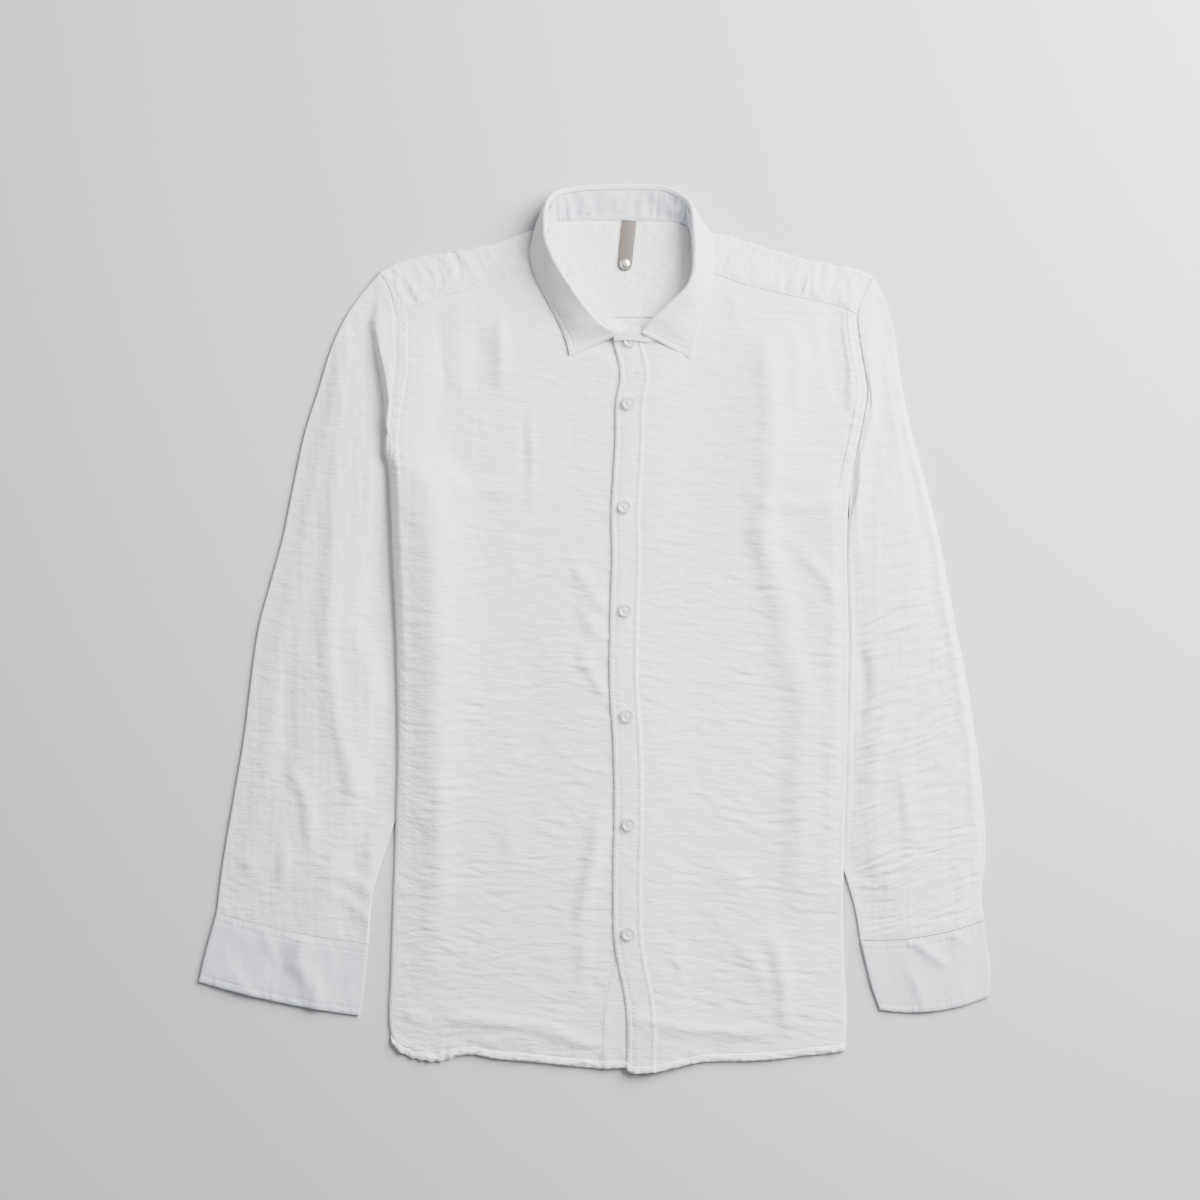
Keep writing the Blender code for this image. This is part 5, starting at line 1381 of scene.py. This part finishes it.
left_start = YOKE_RIGHT + YOKE_NECK + 1
for columns in (np.arange(YOKE_RIGHT - 1), np.arange(left_start, left_start + YOKE_LEFT - 1)):
    lines.append(on_sheet(strip, column_where(from_seam[:STRIP_ROWS, columns].T, 1.6), columns))
sew("yoke_stitches", lines)

# %% Cuffs
lines = []
for name, grid in cuff_grids.items():
    upper = grid[:, -CUFF_TOP:] if name == "right" else grid[:, :CUFF_TOP]
    for away, first in ((1.2, 0), (7.0, 0), (6.5, -1)):
        gap = np.linalg.norm(upper - upper[first], axis=-1)
        rows = column_where(gap.T, away) if first == 0 else CUFF_ROWS - 1 - column_where(gap[::-1].T, away)
        lines.append(on_sheet(upper, rows, np.arange(CUFF_TOP)))
sew("cuff_stitches", lines)

# %% Collar and stand
count = len(collar_grid)
columns = np.arange(COLLAR_COLUMNS)
inner = column_where(from_edge[-FALL_ROWS:][::-1].T, TOPSTITCH)
rows = count - 1 - inner
lines = [on_sheet(collar_grid, rows[2:-2], columns[2:-2])]
for end in (1, -1):
    length = np.cumsum(np.linalg.norm(np.diff(collar_grid[:, ::end], axis=1), axis=-1), axis=1)
    along_row = np.hstack([np.zeros((count, 1)), length])
    column = column_where(along_row, TOPSTITCH)
    column = column if end == 1 else COLLAR_COLUMNS - 1 - column
    kept = np.arange(3 + ARC_ROWS, int(count - FALL_ROWS * 0.12))
    lines.append(on_sheet(collar_grid, kept, column[kept]))
lines.append(on_sheet(collar_grid, 0.9, columns))
lines.append(on_sheet(stand_grid, 1.2, np.arange(stand_grid.shape[1])))
sew("collar_stitches", lines)

# %% [markdown]
# ## Buttons
# The buttons are clear plastic with a raised round rim, a dished middle and four holes. Such a
# thing is turned on a lathe, and extruding a disc step by step while it is scaled does the
# same: every step is one ring of the profile. The holes are cut with a boolean, and the
# sewing thread crosses between them. One button is modelled, then copied to the seven places.


# %% Turning by extrusion
def turned(name, profile, sides):
    """A round solid from its profile of radius and height in mm, closed by flat discs."""
    bpy.ops.object.select_all(action="DESELECT")
    radius, height = profile[0]
    bpy.ops.mesh.primitive_circle_add(
        vertices=sides, radius=radius * MM, fill_type="NGON", location=(0, 0, height * MM)
    )
    piece = bpy.context.object
    piece.name = name
    bpy.ops.object.mode_set(mode="EDIT")
    bpy.ops.mesh.select_all(action="SELECT")
    for (wide, low), (narrow, high) in zip(profile, profile[1:]):
        bpy.ops.mesh.extrude_region_move(TRANSFORM_OT_translate={"value": (0, 0, (high - low) * MM)})
        share = narrow / wide
        bpy.ops.transform.resize(value=(share, share, 1), center_override=(0, 0, high * MM))
    bpy.ops.mesh.select_all(action="SELECT")
    bpy.ops.mesh.normals_make_consistent(inside=False)
    bpy.ops.object.mode_set(mode="OBJECT")
    bpy.ops.object.transform_apply(location=True, rotation=False, scale=False)
    bpy.ops.object.shade_smooth_by_angle(angle=math.radians(35))
    return piece


def copy_to(piece, name, place):
    """A copy with its own mesh, moved in its mesh to a place in mm."""
    made = bpy.data.objects.new(name, piece.data.copy())
    made.data.name = name
    made.data.transform(Matrix.Translation(Vector(place) * MM))
    bpy.context.scene.collection.objects.link(made)
    return made


# %% Button material
def hazed(tree, shader, across, up, depth, least):
    """Roughness in spots of across by up metres, from least to least plus depth."""
    place = tree.nodes.new("ShaderNodeTexCoord")
    haze = stretched_noise(tree, place.outputs["Object"], across, up, detail=3.0)
    rough = math_node(tree, "ADD", math_node(tree, "MULTIPLY", haze, depth), least)
    tree.links.new(rough, shader.inputs["Roughness"])


clear, tree, shader = new_material("clear_button", {
    "Base Color": (0.90, 0.92, 0.94), "Transmission Weight": 0.55, "IOR": 1.5,
})
hazed(tree, shader, 0.0015, 0.0008, 0.22, 0.04)

# %% One button with its thread
BUTTON_RADIUS, BUTTON_THICK = 6.1, 2.3
HOLE_PLACE, HOLE_RADIUS = 1.05, 0.55
# From the underside round the rim, then down into the dished middle
rim = [(BUTTON_RADIUS - inwards, height) for inwards, height in (
    (1.6, 0), (0.5, 0.25), (0, 0.9), (0, 1.6), (0.25, 2.05), (0.75, BUTTON_THICK),
    (1.25, 2.2), (1.7, 1.85), (2.0, 1.5), (2.6, 1.3),
)]
button = turned("button", rim + [(2.2, 1.25), (1.2, 1.25)], 40)
for hole_x in (-HOLE_PLACE, HOLE_PLACE):
    for hole_y in (-HOLE_PLACE, HOLE_PLACE):
        drill = turned("drill", ((HOLE_RADIUS, -1.0), (HOLE_RADIUS, 3.0)), 12)
        drill.data.transform(Matrix.Translation((hole_x * MM, hole_y * MM, 0)))
        cut = button.modifiers.new("hole", "BOOLEAN")
        cut.operation = "DIFFERENCE"
        cut.object = drill
        bpy.ops.object.select_all(action="DESELECT")
        bpy.context.view_layer.objects.active = button
        bpy.ops.object.modifier_apply(modifier="hole")
        bpy.data.objects.remove(drill)
button.data.materials.append(clear)
print("button:", len(button.data.polygons), "faces")

# %% Buttons in place
BUTTONS = table(
    "x y",
    (30.2, 202.1), (26.8, 109.4), (27.3, 16.4), (29, -78.3), (30.2, -175.4), (30.2, -273.4),
    (31.6, 258.4),
)
around = np.array([-BUTTON_RADIUS, 0, BUTTON_RADIUS])
cross = []
for i, (x, y) in enumerate(zip(BUTTONS["x"], BUTTONS["y"])):
    node = "button_collar" if i == 6 else f"button_{i + 1}"
    near_x, near_y = np.meshgrid(x + around, y + around)
    rest = (front_top(near_x, near_y) - WALL + overlap_rise(near_x, near_y)).max() + 2 * LAYER
    made = copy_to(button, f"{node}_clear", (x, y, rest))
    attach(made, "root")
    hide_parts(node)
    # Two strands each way, whose ends go down into the holes
    for bearing in (45, 135):
        way = Vector((math.cos(math.radians(bearing)), math.sin(math.radians(bearing)), 0))
        for shift in (-0.28, 0.28):
            middle = Vector((x, y, rest + 1.35)) + Vector((-way.y, way.x, 0)) * shift
            line = np.array([middle + way * away for away in (-1.7, -1.1, 0, 1.1, 1.7)])
            line[[0, -1], 2] -= 0.6
            cross.append((line, np.repeat([[0.0, 0.0, 1.0]], len(line), axis=0)))
bpy.data.objects.remove(button)
sew("button_thread", cross, pitch=1.1, lift=0.25)

# %% [markdown]
# ## Neck tab and its stud
# A bare leather tab hangs from the neck seam inside the back, with a domed metal stud near its
# round end. The tab is a thin box whose two lower corners are bevelled into a half circle and
# whose rim is then softened. The stud is turned like the buttons.

# %% Tab
TAB_WIDTH, TAB_LENGTH, TAB_THICK, TAB_LEAN = 13.0, 46.0, 1.0, 6.0
TAB_TOP = (31.0, 367.2)
bpy.ops.object.select_all(action="DESELECT")
bpy.ops.mesh.primitive_cube_add(size=1, location=(0, 0, 0))
tab = bpy.context.object
tab.name = "neck_tab_leather"
bpy.ops.object.mode_set(mode="EDIT")
bpy.ops.mesh.select_all(action="SELECT")
bpy.ops.transform.resize(value=(TAB_WIDTH * MM, TAB_LENGTH * MM, TAB_THICK * MM), center_override=(0, 0, 0))
bpy.ops.transform.translate(value=(0, -TAB_LENGTH / 2 * MM, (LAYER + TAB_THICK / 2) * MM))
bpy.ops.mesh.select_mode(type="EDGE")
bpy.ops.mesh.select_all(action="DESELECT")
bpy.ops.object.mode_set(mode="OBJECT")
for corner_edge in tab.data.edges:
    ends = [tab.data.vertices[v].co for v in corner_edge.vertices]
    upright = abs(ends[0].z - ends[1].z) > TAB_THICK / 2 * MM
    corner_edge.select = upright and ends[0].y < -TAB_LENGTH / 2 * MM
bpy.ops.object.mode_set(mode="EDIT")
bpy.ops.mesh.bevel(offset=(TAB_WIDTH / 2 - 0.05) * MM, segments=10, clamp_overlap=True)
bpy.ops.object.mode_set(mode="OBJECT")
soften = tab.modifiers.new("soft_rim", "BEVEL")
soften.width = 0.3 * MM
soften.segments = 3
soften.limit_method = "ANGLE"
soften.angle_limit = math.radians(50)
bpy.ops.object.modifier_apply(modifier="soft_rim")
lean = Matrix.Rotation(-math.radians(TAB_LEAN), 4, "Z")
tab.data.transform(Matrix.Translation(Vector((*TAB_TOP, 0)) * MM) @ lean)
bpy.ops.object.shade_smooth_by_angle(angle=math.radians(40))
taupe, tree, shader = new_material("taupe_tab", {"Roughness": 0.55})
place = tree.nodes.new("ShaderNodeTexCoord")
grain = stretched_noise(tree, place.outputs["Object"], 0.0011, 0.0011, detail=4.0, roughness=0.6)
tone = tree.nodes.new("ShaderNodeValToRGB")
tone.color_ramp.elements[0].color = (0.075, 0.062, 0.053, 1)
tone.color_ramp.elements[1].color = (0.13, 0.108, 0.094, 1)
tree.links.new(grain, tone.inputs["Fac"])
tree.links.new(tone.outputs["Color"], shader.inputs["Base Color"])
add_bump(tree, grain, 0.5, 0.3 * MM, shader)
tab.data.materials.append(taupe)
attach(tab, "root")
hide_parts("neck_tab")

# %% Stud
STUD_RADIUS, STUD_HEIGHT, STUD_FOOT = 4.75, 2.4, 0.6
dome = [(STUD_RADIUS - 0.5, 0.0), (STUD_RADIUS, 0.25), (STUD_RADIUS, 0.5)]
for angle in np.linspace(0.1, 1.5, 10):
    dome.append((STUD_RADIUS * math.cos(angle), mix(STUD_FOOT, STUD_HEIGHT, math.sin(angle))))
stud = turned("stud", dome, 36)
centre = lean @ Vector((0, -(TAB_LENGTH - TAB_WIDTH / 2), 0)) + Vector((*TAB_TOP, 0))
placed = copy_to(stud, "tab_stud_metal", (centre.x, centre.y, LAYER + TAB_THICK + 0.02))
bpy.data.objects.remove(stud)
steel, tree, shader = new_material("polished_stud", {"Base Color": (0.72, 0.72, 0.71), "Metallic": 1.0})
hazed(tree, shader, 0.0009, 0.0009, 0.2, 0.26)
placed.data.materials.append(steel)
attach(placed, "root")
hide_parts("tab_stud")
